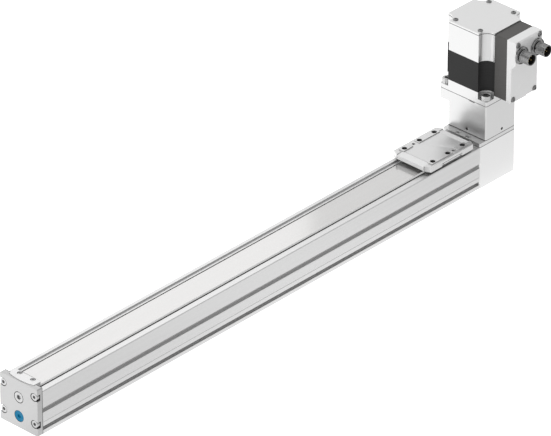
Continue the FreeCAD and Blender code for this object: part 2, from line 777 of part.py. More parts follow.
def strip_screws():
    near = screw("strip_screw", "strip_head_dia", "strip_head_tall", "strip_screw_dia - 0.1",
                 f"clamp_top - {STRIP_LOW} - strip_head_tall + tongue_tall * 0.7")
    far = screw("far_strip_screw", "strip_head_dia", "strip_head_tall", "strip_screw_dia - 0.1",
                f"{PLATE_TOP} - {STRIP_LOW} - strip_head_tall + far_thread_deep - 1")
    spots = [(near, x, y, "clamp_top - 0.2", Rotation()) for x, y in NEAR_STRIP_SCREWS]
    spots += [(far, x, y, f"{PLATE_TOP} - 0.2", Rotation()) for x, y in FAR_STRIP_SCREWS]
    return gathered("strip_screws", spots)


def tension_screw():
    """Screw in the cap's face that pulls the idler yoke."""
    yoke_front = f"({YOKE_TO} - {CAP_FACE} - tension_head_tall)"
    one = screw("tension_screw", "tension_head_dia", "tension_head_tall", "tension_dia", yoke_front)
    place(one, CAP_FACE, "0", "tension_high", UP_TO_MINUS_X)
    return node(one, "tension_screw")


YOKE_TO = f"({IDLER_X} - {PITCH_R} - back_thick - yoke_gap)"
YOKE_FROM = f"({YOKE_TO} - yoke_back)"
PRONG_LOW = f"({BELT_LOW} - side_play - prong_thick)"
PRONG_HIGH = f"({BELT_TOP} + side_play + prong_thick)"


def idler_yoke():
    """Fork that holds the idler pulley by its pin."""
    owner = body("idler_yoke")
    block = sketch(owner, "XY", PRONG_LOW)
    cut_box_outline(block, YOKE_FROM, "-yoke_half", YOKE_TO, "yoke_half", "cap_edge")
    raised(owner, block, f"{PRONG_HIGH} - {PRONG_LOW}")
    for low in (PRONG_LOW, f"({PRONG_HIGH} - prong_thick)"):
        prong = sketch(owner, "XY", low)
        box_outline(prong, YOKE_TO, "-prong_half", IDLER_X, "prong_half")
        raised(owner, prong, "prong_thick")
        end = sketch(owner, "XY", low)
        ring(end, IDLER_X, "0", "2 * prong_half")
        raised(owner, end, "prong_thick")
    pin_hole = sketch(owner, "XY", PRONG_HIGH)
    ring(pin_hole, IDLER_X, "0", "pin_dia + 0.05")
    sunk(owner, pin_hole)
    thread = sketch(owner, "YZ", YOKE_FROM)
    ring(thread, "0", "tension_high", "tension_dia + 0.1")
    sunk(owner, thread, "yoke_back", back=True)
    return node(owner, "idler_yoke")


def idler_pin():
    pin = turned("idler_pin", [("0", PRONG_LOW), ("pin_dia / 2", PRONG_LOW),
                               ("pin_dia / 2", PRONG_HIGH), ("0", PRONG_HIGH)])
    place(pin, IDLER_X)
    return node(pin, "idler_pin")


def toothed_wheel(name, low, high, bore, flanged):
    """Belt pulley: a wheel with a groove cut once and repeated around, between two flanges if it has any."""
    owner = body(name)
    rim = f"({PITCH_R} - cord_depth - mesh_play)"
    if flanged:
        for height in (f"{low} - flange_thick", high):
            disc = sketch(owner, "XY", height)
            ring(disc, "0", "0", "flange_dia")
            raised(owner, disc, "flange_thick")
    wheel = sketch(owner, "XY", low)
    ring(wheel, "0", "0", f"2 * {rim}")
    raised(owner, wheel, f"{high} - {low}")
    groove = sketch(owner, "XY", high)
    root = f"({rim} - tooth_tall - mesh_play)"
    narrow = "(tooth_tip / 2 + mesh_play)"
    wide = f"({narrow} + (tooth_tall + mesh_play) * tan(25))"
    outline(groove, [
        (root, f"-{narrow}"), (rim, f"-{wide}"), (f"{rim} + 1", f"-{wide}"),
        (f"{rim} + 1", wide), (rim, wide), (root, narrow),
    ])
    first = sunk(owner, groove, f"{high} - {low}")
    around = owner.newObject("PartDesign::PolarPattern", name + "_teeth")
    around.Originals = [first]
    around.Axis = (groove, ["N_Axis"])
    around.Angle = 360
    bind(around, Occurrences="pulley_teeth")
    owner.Tip = around
    hole = sketch(owner, "XY", high)
    ring(hole, "0", "0", bore)
    sunk(owner, hole)
    return owner


def idler_pulley():
    low, high = f"({BELT_LOW} - side_play / 2)", f"({BELT_TOP} + side_play / 2)"
    wheel = toothed_wheel("idler_pulley", low, high, "idler_bearing_dia", False)
    place(wheel, IDLER_X)
    loop = f"(pi * {PITCH_R} + {MOTOR_X} - {IDLER_X})"
    turn = f"-90 + mod({loop}; belt_pitch) / {PITCH_R} * 180 / pi"
    wheel.setExpression("Placement.Rotation.Angle", tied(turn))
    return node(wheel, "idler_pulley")


def bearing_rings(kind, bore, outer, wide):
    """The two rings of a small ball bearing, as masters that groups are made of."""
    middle = f"(({bore}) + ({outer})) / 4"
    inner = turned(kind + "_inner", tube_section(f"({bore}) / 2", f"{middle} - ring_gap / 2", "0", wide))
    shell = turned(kind + "_outer", tube_section(f"{middle} + ring_gap / 2", f"({outer}) / 2", "0", wide))
    return inner, shell


def idler_bearings():
    inner, shell = bearing_rings("idler_bearing", "pin_dia", "idler_bearing_dia", "idler_bearing_wide")
    heights = (f"{BELT_LOW} - side_play / 2", f"{BELT_TOP} + side_play / 2 - idler_bearing_wide")
    group("idler_bearing_inner_rings", inner, [(IDLER_X, "0", z) for z in heights])
    group("idler_bearing_outer_rings", shell, [(IDLER_X, "0", z) for z in heights])


def port_plug():
    """Blue plug in the air port of the cap, with a stem in the port's bore."""
    stem, head = "plug_bore / 2 - clamp_play", "plug_dia / 2 - clamp_play"
    full = "plug_stem + plug_deep"
    plug = turned("port_plug", [
        ("0", "0"), (stem, "0"), (stem, "plug_stem"), (head, "plug_stem"), (head, f"{full} - 0.4"),
        (f"{head} - 0.4", full), ("0", full),
    ])
    place(plug, f"{CAP_FACE} + {full}", "0", "plug_high", UP_TO_MINUS_X)
    return node(plug, "port_plug")


WHEEL_LOW = f"({BELT_LOW} - side_play)"
WHEEL_HIGH = f"({BELT_TOP} + side_play)"
CHAMBER_LOW = f"({WHEEL_LOW} - flange_thick - collar_tall)"
CHAMBER_HIGH = f"({WHEEL_HIGH} + flange_thick + collar_tall)"
HOUSING_TO = f"({FAR} + housing_len)"
TOWER_SCREWS = [(f"{MOTOR_X} {fore}", f"{side} * tower_screw_side")
                for fore in ("- tower_screw_near", "+ tower_screw_far") for side in (1, -1)]


def drive_housing():
    """Block at the drive end: belt passage, pulley chamber, lower bearing seat."""
    owner = body("drive_housing")
    plan = sketch(owner, "XY")
    cut_box_outline(plan, FAR, f"-{HALF}", HOUSING_TO, HALF, "housing_edge")
    raised(owner, plan, "housing_tall")
    chamber = sketch(owner, "XY", "housing_tall")
    ring(chamber, MOTOR_X, "0", "chamber_bore")
    sunk(owner, chamber, f"housing_tall - {CHAMBER_LOW}")
    seat = sketch(owner, "XY", CHAMBER_LOW)
    ring(seat, MOTOR_X, "0", "bearing_dia")
    sunk(owner, seat, "bearing_wide")
    below = sketch(owner, "XY", f"{CHAMBER_LOW} - bearing_wide")
    ring(below, MOTOR_X, "0", "shaft_dia + 3")
    sunk(owner, below, f"{CHAMBER_LOW} - bearing_wide - shaft_bottom + 1")
    passage = sketch(owner, "YZ", FAR)
    wide = f"({PITCH_R} + back_thick + 1)"
    box_outline(passage, f"-{wide}", f"{BELT_LOW} - 1", wide, f"{BELT_TOP} + 1")
    sunk(owner, passage, "shaft_inset", back=True)
    tray = sketch(owner, "XY", "housing_tall")
    box_outline(tray, FAR, "-strip_half - 0.2", f"{STRIP_TO} + 0.3", "strip_half + 0.2")
    sunk(owner, tray, f"housing_tall - {STRIP_LOW}")
    threads = sketch(owner, "XY", STRIP_LOW)
    rings(threads, FAR_STRIP_SCREWS, "strip_screw_dia")
    sunk(owner, threads, "far_thread_deep")
    tower = sketch(owner, "XY", "housing_tall")
    rings(tower, TOWER_SCREWS, "tower_screw_dia")
    sunk(owner, tower, "tower_thread_deep")
    holes = sketch(owner, "YZ", HOUSING_TO)
    rings(holes, END_SCREWS, "port_bore + 1")
    sunk(owner, holes)
    heads = sketch(owner, "YZ", HOUSING_TO)
    rings(heads, END_SCREWS, "housing_head_dia + 0.4")
    sunk(owner, heads, "housing_len - housing_grip")
    return node(owner, "drive_housing")


def housing_screws():
    one = screw("housing_screw", "housing_head_dia", "end_head_tall", "port_bore - 0.1",
                "housing_grip + end_thread_long")
    seat = f"{FAR} + housing_grip + end_head_tall"
    return group("drive_housing_screws", one, [(seat, y, z) for y, z in END_SCREWS], UP_TO_X)


def top_plate():
    """Plate on the housing: it clamps the strip's far end and carries the upper bearing."""
    owner = body("top_plate")
    plan = sketch(owner, "XY", "housing_tall")
    cut_box_outline(plan, FAR, f"-{HALF}", HOUSING_TO, HALF, "housing_edge")
    raised(owner, plan, "plate_thick")
    spigot = sketch(owner, "XY", "housing_tall")
    ring(spigot, MOTOR_X, "0", "chamber_bore - 0.1")
    raised(owner, spigot, f"housing_tall - {CHAMBER_HIGH}", back=True)
    jaw = sketch(owner, "XY", "housing_tall")
    box_outline(jaw, FAR, "-strip_half", STRIP_TO, "strip_half")
    raised(owner, jaw, f"housing_tall - {STRIP_TOP}", back=True)
    seat = sketch(owner, "XY", CHAMBER_HIGH)
    ring(seat, MOTOR_X, "0", "bearing_dia")
    sunk(owner, seat, "bearing_wide", back=True)
    holes = sketch(owner, "XY", PLATE_TOP)
    rings(holes, [(MOTOR_X, "0")], "shaft_dia + 3")
    rings(holes, TOWER_SCREWS, "tower_screw_dia + 0.4")
    rings(holes, FAR_STRIP_SCREWS, "strip_screw_dia + 0.4")
    sunk(owner, holes)
    heads = sketch(owner, "XY", PLATE_TOP)
    rings(heads, FAR_STRIP_SCREWS, "strip_head_dia + 0.4")
    sunk(owner, heads, "strip_head_tall + 0.2")
    return node(owner, "top_plate")


def drive_shaft():
    """Shaft with a collar on each side of the pulley."""
    r, c = "shaft_dia / 2", "collar_dia / 2"
    low, high = f"{WHEEL_LOW} - flange_thick", f"{WHEEL_HIGH} + flange_thick"
    shaft = turned("drive_shaft", [
        ("0", "shaft_bottom"), (f"{r} - 0.5", "shaft_bottom"), (r, "shaft_bottom + 0.5"), (r, CHAMBER_LOW),
        (c, CHAMBER_LOW), (c, low), (r, low), (r, high), (c, high), (c, CHAMBER_HIGH), (r, CHAMBER_HIGH),
        (r, "hub_low + hub_long - 0.5"), (f"{r} - 0.5", "hub_low + hub_long"), ("0", "hub_low + hub_long"),
    ])
    place(shaft, MOTOR_X)
    return node(shaft, "drive_shaft")


def drive_pulley():
    wheel = toothed_wheel("drive_pulley", WHEEL_LOW, WHEEL_HIGH, "shaft_dia", True)
    place(wheel, MOTOR_X, turn=Rotation(Vector(0, 0, 1), 90))
    return node(wheel, "drive_pulley")


def shaft_bearings():
    """The four equal bearings of the drive shaft and the motor shaft."""
    inner, shell = bearing_rings("shaft_bearing", "shaft_dia", "bearing_dia", "bearing_wide")
    heights = (f"{CHAMBER_LOW} - bearing_wide", CHAMBER_HIGH, "flange_high - bearing_wide", "stack_high")
    group("shaft_bearing_inner_rings", inner, [(MOTOR_X, "0", z) for z in heights])
    group("shaft_bearing_outer_rings", shell, [(MOTOR_X, "0", z) for z in heights])


HUB_TOP = "(hub_low + hub_long)"
UPPER_HUB = f"({HUB_TOP} + spider_tall + 2 * jaw_play)"


def coupling_hub(label, base, jaw_up, turn, set_screw_high):
    """Hub with two jaws that reach between the arms of the spider."""
    owner = body(label)
    disc = sketch(owner, "XY", base)
    ring(disc, "0", "0", "hub_dia")
    raised(owner, disc, "hub_long")
    root = f"({base} + hub_long)" if jaw_up else base
    jaw = sketch(owner, "XY", root)
    reach = "(spider_arm / 2 + jaw_play) * sqrt(2)"
    tip = f"(({reach} + sqrt(hub_dia^2 / 2 - ({reach})^2)) / 2)"
    side = f"({tip} - {reach})"
    outline(jaw, [
        ("jaw_inner", f"-(jaw_inner - {reach})"), (tip, f"-{side}", "hub_dia / 2"), (tip, side),
        ("jaw_inner", f"jaw_inner - {reach}"),
    ])
    pad = raised(owner, jaw, "jaw_long", back=not jaw_up)
    pair = owner.newObject("PartDesign::PolarPattern", label + "_jaws")
    pair.Originals = [pad]
    pair.Axis = (jaw, ["N_Axis"])
    pair.Angle = 360
    pair.Occurrences = 2
    owner.Tip = pair
    bore = sketch(owner, "XY", base)
    ring(bore, "0", "0", "shaft_dia")
    sunk(owner, bore, "hub_long", back=True)
    for plane, back in (("YZ", False), ("XZ", True)):
        radial = sketch(owner, plane)
        ring(radial, "0", set_screw_high, "set_screw_dia")
        sunk(owner, radial, "hub_dia / 2 + 1", back=back)
    place(owner, MOTOR_X, turn=turn)
    return node(owner, label)


def coupling():
    coupling_hub("lower_coupling_hub", "hub_low", True, Rotation(), "access_high")
    quarter = Rotation(Vector(0, 0, 1), 90)
    upper_screw = f"{UPPER_HUB} + hub_long - access_high + hub_low"
    coupling_hub("upper_coupling_hub", UPPER_HUB, False, quarter, upper_screw)
    owner = body("coupling_spider")
    cross = sketch(owner, "XY", f"{HUB_TOP} + jaw_play")
    a, b = "spider_arm / 2", "(hub_dia / 2 - 0.4)"
    outline(cross, [(b, f"-{a}"), (b, a), (a, a), (a, b), (f"-{a}", b), (f"-{a}", a), (f"-{b}", a),
                    (f"-{b}", f"-{a}"), (f"-{a}", f"-{a}"), (f"-{a}", f"-{b}"), (a, f"-{b}"), (a, f"-{a}")])
    raised(owner, cross, "spider_tall")
    place(owner, MOTOR_X, turn=Rotation(Vector(0, 0, 1), 45))
    node(owner, "coupling_spider")
    pin = turned("set_screw", [("0", "0"), ("set_screw_dia / 2 - 0.05", "0"),
                               ("set_screw_dia / 2 - 0.05", "set_screw_long"), ("0", "set_screw_long")])
    start = "(shaft_dia / 2 + 0.1)"
    gathered("coupling_set_screws", [
        (pin, f"{MOTOR_X} - {start}", "0", "access_high", UP_TO_MINUS_X),
        (pin, MOTOR_X, f"-{start}", "access_high", UP_TO_MINUS_Y),
        (pin, MOTOR_X, f"-{start}", upper_screw, UP_TO_MINUS_Y),
        (pin, f"{MOTOR_X} + {start}", "0", upper_screw, UP_TO_X),
    ])


def coupling_housing():
    """Tower that joins the drive housing and the motor, with a square flange at its top."""
    owner = body("coupling_housing")
    plan = sketch(owner, "XY", PLATE_TOP)
    cut_box_outline(plan, f"{MOTOR_X} - tower_front", "-tower_half", f"{MOTOR_X} - tower_front + tower_long",
                    "tower_half", "tower_edge")
    raised(owner, plan, f"motor_low - {PLATE_TOP}")
    top = sketch(owner, "XY", "motor_low")
    square = (f"{MOTOR_X} - {MOTOR_HALF}", f"-{MOTOR_HALF}", f"{MOTOR_X} + {MOTOR_HALF}", MOTOR_HALF)
    cut_box_outline(top, *square, "motor_edge")
    raised(owner, top, "motor_low - tower_neck", back=True)
    bore = sketch(owner, "XY", "motor_low")
    ring(bore, MOTOR_X, "0", "tower_bore")
    sunk(owner, bore)
    pilot = sketch(owner, "XY", "motor_low")
    ring(pilot, MOTOR_X, "0", "pilot_dia + 0.2")
    sunk(owner, pilot, "pilot_deep + 0.2")
    threads = sketch(owner, "XY", "motor_low")
    rings(threads, [(f"{MOTOR_X} + {i} * bolt_side", f"{j} * bolt_side") for i in (1, -1) for j in (1, -1)],
          "motor_screw_dia")
    sunk(owner, threads, "motor_low - tower_neck")
    shanks = sketch(owner, "XY", PLATE_TOP)
    rings(shanks, TOWER_SCREWS, "tower_screw_dia + 0.4")
    sunk(owner, shanks)
    heads = sketch(owner, "XY", "motor_low")
    rings(heads, TOWER_SCREWS, "tower_head_dia + 0.3")
    sunk(owner, heads, "motor_low - tower_seat")
    front = sketch(owner, "YZ", MOTOR_X)
    ring(front, "0", "access_high", "access_dia")
    sunk(owner, front, "motor_side")
    side = sketch(owner, "XZ", "0")
    ring(side, MOTOR_X, "access_high", "access_dia")
    sunk(owner, side, "motor_side", back=True)
    pry = sketch(owner, "XY", "motor_low")
    box_outline(pry, f"{MOTOR_X} - {MOTOR_HALF}", "-pry_side - pry_wide", f"{MOTOR_X} - {MOTOR_HALF} + 1.5",
                "-pry_side")
    sunk(owner, pry, "pry_tall")
    return node(owner, "coupling_housing")


def tower_screws():
    one = screw("tower_screw", "tower_head_dia", "tower_head_tall", "tower_screw_dia - 0.1",
                "tower_seat - housing_tall + tower_thread_deep - 1")
    spots = [(x, y, "tower_seat + tower_head_tall") for x, y in TOWER_SCREWS]
    return group("coupling_housing_screws", one, spots)


CORNER_CHORD = "(corner_leg * sqrt(2))"
CORNER_R = f"({CORNER_CHORD}^2 / (8 * corner_bow) + corner_bow / 2)"
BOLTS = corners_of("bolt_side", "bolt_side")


def hollow_square(drawing):
    """The motor's cross section: a square with a hollow arc in place of each corner."""
    a, b = MOTOR_HALF, f"({MOTOR_HALF} - corner_leg)"
    turn = f"-{CORNER_R}"
    outline(drawing, [
        (a, f"-{b}"), (a, b, turn), (b, a), (f"-{b}", a, turn), (f"-{a}", b), (f"-{a}", f"-{b}", turn),
        (f"-{b}", f"-{a}"), (b, f"-{a}", turn),
    ])


def motor_flange():
    """Front end of the motor: square lugs below, hollow corners above, bearing seat and pilot."""
    owner = body("motor_flange")
    plan = sketch(owner, "XY", "motor_low")
    cut_box_outline(plan, f"-{MOTOR_HALF}", f"-{MOTOR_HALF}", MOTOR_HALF, MOTOR_HALF, "motor_edge")
    raised(owner, plan, "lug_thick")
    upper = sketch(owner, "XY", "motor_low + lug_thick")
    hollow_square(upper)
    raised(owner, upper, "flange_high - motor_low - lug_thick")
    pilot = sketch(owner, "XY", "motor_low")
    ring(pilot, "0", "0", "pilot_dia")
    raised(owner, pilot, "pilot_deep", back=True)
    seat = sketch(owner, "XY", "flange_high")
    ring(seat, "0", "0", "bearing_dia")
    sunk(owner, seat, "bearing_wide")
    bore = sketch(owner, "XY", "flange_high")
    ring(bore, "0", "0", "shaft_dia + 3")
    sunk(owner, bore)
    holes = sketch(owner, "XY", "motor_low + lug_thick")
    rings(holes, BOLTS, "motor_screw_dia + 0.2")
    sunk(owner, holes)
    place(owner, MOTOR_X)
    return node(owner, "motor_flange")


def motor_screws():
    one = screw("motor_screw", "motor_head_dia", "motor_head_tall", "motor_screw_dia - 0.1",
                "lug_thick + motor_low - tower_neck - 1", key=0.6)
    spots = [(f"{MOTOR_X} + {x}", y, "motor_low + lug_thick + motor_head_tall") for x, y in BOLTS]
    return group("motor_screws", one, spots)


def stator_stack():
    owner = body("stator_stack")
    plan = sketch(owner, "XY", "flange_high")
    hollow_square(plan)
    ring(plan, "0", "0", "stator_bore")
    raised(owner, plan, "stack_high - flange_high")
    place(owner, MOTOR_X)
    return node(owner, "stator_stack")


def rotor():
    low, high = "flange_high + rotor_gap", "stack_high - rotor_gap"
    core = turned("rotor", tube_section("shaft_dia / 2", "rotor_dia / 2", low, high))
    place(core, MOTOR_X)
    return node(core, "rotor")


def motor_shaft():
    r = "shaft_dia / 2"
    shaft = turned("motor_shaft", [
        ("0", "motor_shaft_low"), (f"{r} - 0.5", "motor_shaft_low"), (r, "motor_shaft_low + 0.5"),
        (r, "motor_shaft_high"), ("0", "motor_shaft_high"),
    ])
    place(shaft, MOTOR_X)
    node(shaft, "motor_shaft")
    magnet = turned("encoder_magnet", [
        ("0", "motor_shaft_high"), ("shaft_dia / 2 + 1", "motor_shaft_high"),
        ("shaft_dia / 2 + 1", "motor_shaft_high + magnet_tall"), ("0", "motor_shaft_high + magnet_tall"),
    ])
    place(magnet, MOTOR_X)
    node(magnet, "encoder_magnet")


COVER_SCREWS = corners_of("cover_screw_fore", "cover_screw_side")
BOARD_LOW = "(motor_shaft_high + magnet_tall + 1)"


def rear_housing():
    """Rear end of the motor with the rear bearing and room for the encoder."""
    owner = body("motor_rear_housing")
    plan = sketch(owner, "XY", "stack_high")
    hollow_square(plan)
    raised(owner, plan, "rear_high - stack_high")
    shelf = sketch(owner, "XY", "rear_high")
    ring(shelf, "0", "0", "encoder_room")
    sunk(owner, shelf, f"rear_high - {BOARD_LOW}")
    well = sketch(owner, "XY", BOARD_LOW)
    ring(well, "0", "0", "encoder_room - 6")
    sunk(owner, well, f"{BOARD_LOW} - stack_high - bearing_wide - 2")
    through = sketch(owner, "XY", "rear_high")
    ring(through, "0", "0", "shaft_dia + 3")
    sunk(owner, through)
    seat = sketch(owner, "XY", "stack_high")
    ring(seat, "0", "0", "bearing_dia")
    sunk(owner, seat, "bearing_wide", back=True)
    threads = sketch(owner, "XY", "rear_high")
    rings(threads, COVER_SCREWS, "cover_screw_dia")
    sunk(owner, threads, "cover_thread_deep")
    place(owner, MOTOR_X)
    node(owner, "motor_rear_housing")
    board = turned("encoder_board", [("0", BOARD_LOW), ("encoder_room / 2 - 0.2", BOARD_LOW),
                                     ("encoder_room / 2 - 0.2", f"{BOARD_LOW} + board_thick"),
                                     ("0", f"{BOARD_LOW} + board_thick")])
    place(board, MOTOR_X)
    node(board, "encoder_board")


def motor_cover():
    owner = body("motor_cover")
    plan = sketch(owner, "XY", "rear_high")
    hollow_square(plan)
    raised(owner, plan, "cover_high - rear_high")
    holes = sketch(owner, "XY", "cover_high")
    rings(holes, COVER_SCREWS, "cover_screw_dia + 0.3")
    sunk(owner, holes)
    place(owner, MOTOR_X)
    node(owner, "motor_cover")
    one = screw("cover_screw", "cover_head_dia", "cover_head_tall", "cover_screw_dia - 0.1",
                "cover_high - rear_high + cover_thread_deep - 1")
    spots = [(f"{MOTOR_X} + {x}", y, "cover_high + cover_head_tall") for x, y in COVER_SCREWS]
    group("motor_cover_screws", one, spots)


MODULE_MIDDLE = "((module_low + module_high) / 2)"
MODULE_SCREWS = [(f"{i} * module_screw_side", high) for i in (1, -1)
                 for high in ("module_low + module_screw_in", "module_high - module_screw_in")]


def electronics_frame():
    """Cooling frame on the motor's side, open towards the board."""
    owner = body("electronics_frame")
    face = sketch(owner, "XZ", MOTOR_HALF)
    cut_box_outline(face, "-module_half", "module_low", "module_half", "module_high", "module_edge")
    raised(owner, face, "frame_deep")
    room = sketch(owner, "XZ", FRAME_Y)
    box_outline(room, "-module_half + frame_wall", "module_low + frame_wall", "module_half - frame_wall",
                "module_high - frame_wall")
    sunk(owner, room, "frame_deep - frame_wall")
    threads = sketch(owner, "XZ", FRAME_Y)
    rings(threads, MODULE_SCREWS, "module_screw_dia")
    sunk(owner, threads, "module_thread_deep")
    place(owner, MOTOR_X)
    return node(owner, "electronics_frame")


def circuit_board():
    """Drive board, seated on the frame's inner face by four spacers."""
    owner = body("circuit_board")
    plate = sketch(owner, "XZ", f"{MOTOR_HALF} + frame_wall + spacer_tall")
    box_outline(plate, "-module_half + frame_wall + 0.3", "module_low + frame_wall + 0.3",
                "module_half - frame_wall - 0.3", "module_high - frame_wall - 0.3")
    raised(owner, plate, "board_thick")
    spacers = sketch(owner, "XZ", f"{MOTOR_HALF} + frame_wall")
    side = "module_half - frame_wall - spacer_dia"
    tall = "(module_high - module_low) / 2 - frame_wall - spacer_dia"
    rings(spacers, [(x, f"{MODULE_MIDDLE} + {z}") for x, z in corners_of(side, tall)], "spacer_dia")
    raised(owner, spacers, "spacer_tall")
    place(owner, MOTOR_X)
    return node(owner, "circuit_board")


def cover_profile(inset):
    """Side view of the cover (distance from the motor axis, height), pulled in by a wall."""
    low, high = f"module_low + {inset}", f"module_high - {inset}"
    flat, bulge = f"{COVER_Y} - {inset}", f"{BULGE_Y} - {inset}"
    return [
        (f"-({FRAME_Y})", low), (f"-({FRAME_Y})", high), (f"-({bulge}) + {inset} / 2 + 1", high),
        (f"-({bulge})", f"{high} - 1"), (f"-({bulge})", f"bulge_low + bulge_slope + {inset} / 2"),
        (f"-({flat})", f"bulge_low + {inset} / 2"), (f"-({flat})", f"{low} + 1"),
        (f"-({flat}) + 1", low),
    ]


def electronics_cover():
    """Moulded cover with a thicker upper part that carries the connectors."""
    owner = body("electronics_cover")
    side = sketch(owner, "YZ", "-module_half")
    outline(side, cover_profile("0"))
    raised(owner, side, "2 * module_half")
    room = sketch(owner, "YZ", "-module_half + shell_wall")
    outline(room, cover_profile("shell_wall"))
    sunk(owner, room, "2 * (module_half - shell_wall)", back=True)
    for spots, depth in ((MODULE_SCREWS[::2], COVER_Y), (MODULE_SCREWS[1::2], BULGE_Y)):
        pillar = sketch(owner, "XZ", FRAME_Y)
        rings(pillar, spots, "module_pillar")
        raised(owner, pillar, f"{depth} - {FRAME_Y} - shell_wall * 0.5")
        hole = sketch(owner, "XZ", depth)
        rings(hole, spots, "module_screw_dia + 0.3")
        sunk(owner, hole, f"{depth} - {FRAME_Y}")
        head = sketch(owner, "XZ", depth)
        rings(head, spots, "module_head_dia + 0.4")
        sunk(owner, head, "module_head_tall - module_head_out")
    ports = sketch(owner, "XZ", BULGE_Y)
    rings(ports, [(f"{i} * connector_side", "connector_high") for i in (1, -1)], "connector_dia - 1.8")
    sunk(owner, ports, "shell_wall + 1")
    place(owner, MOTOR_X)
    return node(owner, "electronics_cover")


def module_screws():
    one = screw("module_screw", "module_head_dia", "module_head_tall", "module_screw_dia - 0.1",
                f"{COVER_Y} - {FRAME_Y} - module_head_tall + module_thread_deep - 0.6")
    longer = screw("module_screw_long", "module_head_dia", "module_head_tall", "module_screw_dia - 0.1",
                   f"{BULGE_Y} - {FRAME_Y} - module_head_tall + module_thread_deep - 0.6")
    kinds = ((one, MODULE_SCREWS[::2], COVER_Y), (longer, MODULE_SCREWS[1::2], BULGE_Y))
    return gathered("electronics_screws", [
        (master, f"{MOTOR_X} + {x}", f"-{depth} - module_head_out", z, UP_TO_MINUS_Y)
        for master, spots, depth in kinds for x, z in spots
    ])


def connectors():
    """Two round plugs: a threaded shell each, with an insert and five pins."""
    r, inner = "connector_dia / 2", "connector_dia / 2 - connector_wall"
    rear = "-(shell_wall + 1)"
    for name, side in (("power_connector", "-1"), ("signal_connector", "1")):
        shell = turned(name, [
            (f"{inner} - 1.4", rear), (f"{inner} - 0.1", rear), (f"{inner} - 0.1", "0"),
            ("connector_base / 2 - 0.5", "0"), ("connector_base / 2", "0.5"),
            ("connector_base / 2", "connector_base_thick"), (r, "connector_base_thick"),
            (r, "connector_long - 0.5"), (f"{r} - 0.4", "connector_long"), (inner, "connector_long"),
            (inner, "connector_long - insert_deep"), (f"{inner} - 1.4", "connector_long - insert_deep"),
        ])
        place(shell, f"{MOTOR_X} + {side} * connector_side", f"-{BULGE_Y}", "connector_high", UP_TO_MINUS_Y)
        node(shell, name)
    top = "connector_long - insert_deep"
    core = turned("connector_insert", [("0", rear), (f"{inner} - 1.4", rear), (f"{inner} - 1.4", top),
                                       ("0", top)])
    pin = turned("connector_pin", [("0", "0"), ("pin_thick / 2", "0"), ("pin_thick / 2", "pin_long - 0.3"),
                                   ("pin_thick / 4", "pin_long"), ("0", "pin_long")])
    inserts, pins = [], []
    for side in ("-1", "1"):
        x = f"{MOTOR_X} + {side} * connector_side"
        inserts.append((x, f"-{BULGE_Y}", "connector_high"))
        tip = f"-({BULGE_Y} + {top})"
        pins.append((x, tip, "connector_high"))
        for turn in (45, 135, 225, 315):
            fore, high = f"pin_circle * cos({turn})", f"pin_circle * sin({turn})"
            pins.append((f"{x} + {fore}", tip, f"connector_high + {high}"))
    group("connector_inserts", core, inserts, UP_TO_MINUS_Y)
    group("connector_pins", pin, pins, UP_TO_MINUS_Y)


SLIDE_HALF = "(slide_len / 2)"
HOLES = [(f"{k} * hole_pitch", f"{side} * hole_side") for side in (1, -1) for k in (-1, 0, 1)]
PIN_HOLES = [("-pin_fore", "hole_side"), ("pin_fore", "-hole_side")]


def slide_body():
    """Slide plate with raised pads, and the two webs that reach down past the strip."""
    owner = body("slide_body")
    plan = sketch(owner, "XY", "slide_low")
    tip, side = f"({HALF} - slide_corner_side)", f"({SLIDE_HALF} - slide_corner)"
    seat = f"({SLIDE_HALF} - guide_len)"
    quarter = [(SLIDE_HALF, "guide_half"), (SLIDE_HALF, tip), (side, HALF)]
    right = [(seat, "guide_half")] + quarter
    upper = right + [(f"-{x}", y) for x, y in reversed(right)]
    outline(plan, upper + [(f"-({x})", f"-({y})") for x, y in upper])
    raised(owner, plan, "slide_top - slide_low")
    webs = sketch(owner, "XY", "slide_low")
    box_outline(webs, "-web_half", WEB_IN, "web_half", WEB_OUT)
    box_outline(webs, "-web_half", f"-{WEB_OUT}", "web_half", f"-{WEB_IN}")
    raised(owner, webs, "slide_low - web_low", back=True)
    pads = sketch(owner, "XY", "slide_top")
    for sign in (1, -1):
        inner, outer = "hole_side - pad_half", "hole_side + pad_half"
        for x0, x1 in (("-pad_end", "-pad_end + pad_short"), ("pad_end - pad_long", "pad_end")):
            spots = [(f"{sign} * ({x})", f"{sign} * ({y})") for x in (x0, x1) for y in (inner, outer)]
            low, high = (spots[0], spots[3]) if sign > 0 else (spots[3], spots[0])
            box_outline(pads, low[0], low[1], high[0], high[1])
    raised(owner, pads, "pad_tall")
    tunnel = sketch(owner, "YZ", "0")
    box_outline(tunnel, f"-{WEB_IN}", "saddle_low", WEB_IN, "guide_low")
    sunk(owner, tunnel)
    holes = sketch(owner, "XY", "slide_top + pad_tall")
    rings(holes, HOLES, "thread_bore")
    sunk(owner, holes, "thread_deep")
    pins = sketch(owner, "XY", "slide_top")
    rings(pins, PIN_HOLES, "pin_bore")
    sunk(owner, pins, "pin_deep")
    for sign in (1, -1):
        pocket = sketch(owner, "XZ", f"{sign} * {HALF}")
        box_outline(pocket, "-lube_half", "lube_low", "lube_half", "lube_low + lube_tall")
        sunk(owner, pocket, "lube_deep", back=sign < 0)
    holes = sketch(owner, "XZ", WEB_OUT)
    rings(holes, [(f"{i} * saddle_screw_fore", "saddle_low + saddle_thick / 2") for i in (1, -1)],
          "saddle_screw_dia + 0.2")
    sunk(owner, holes)
    place(owner, SLIDE_X)
    return node(owner, "slide_body")


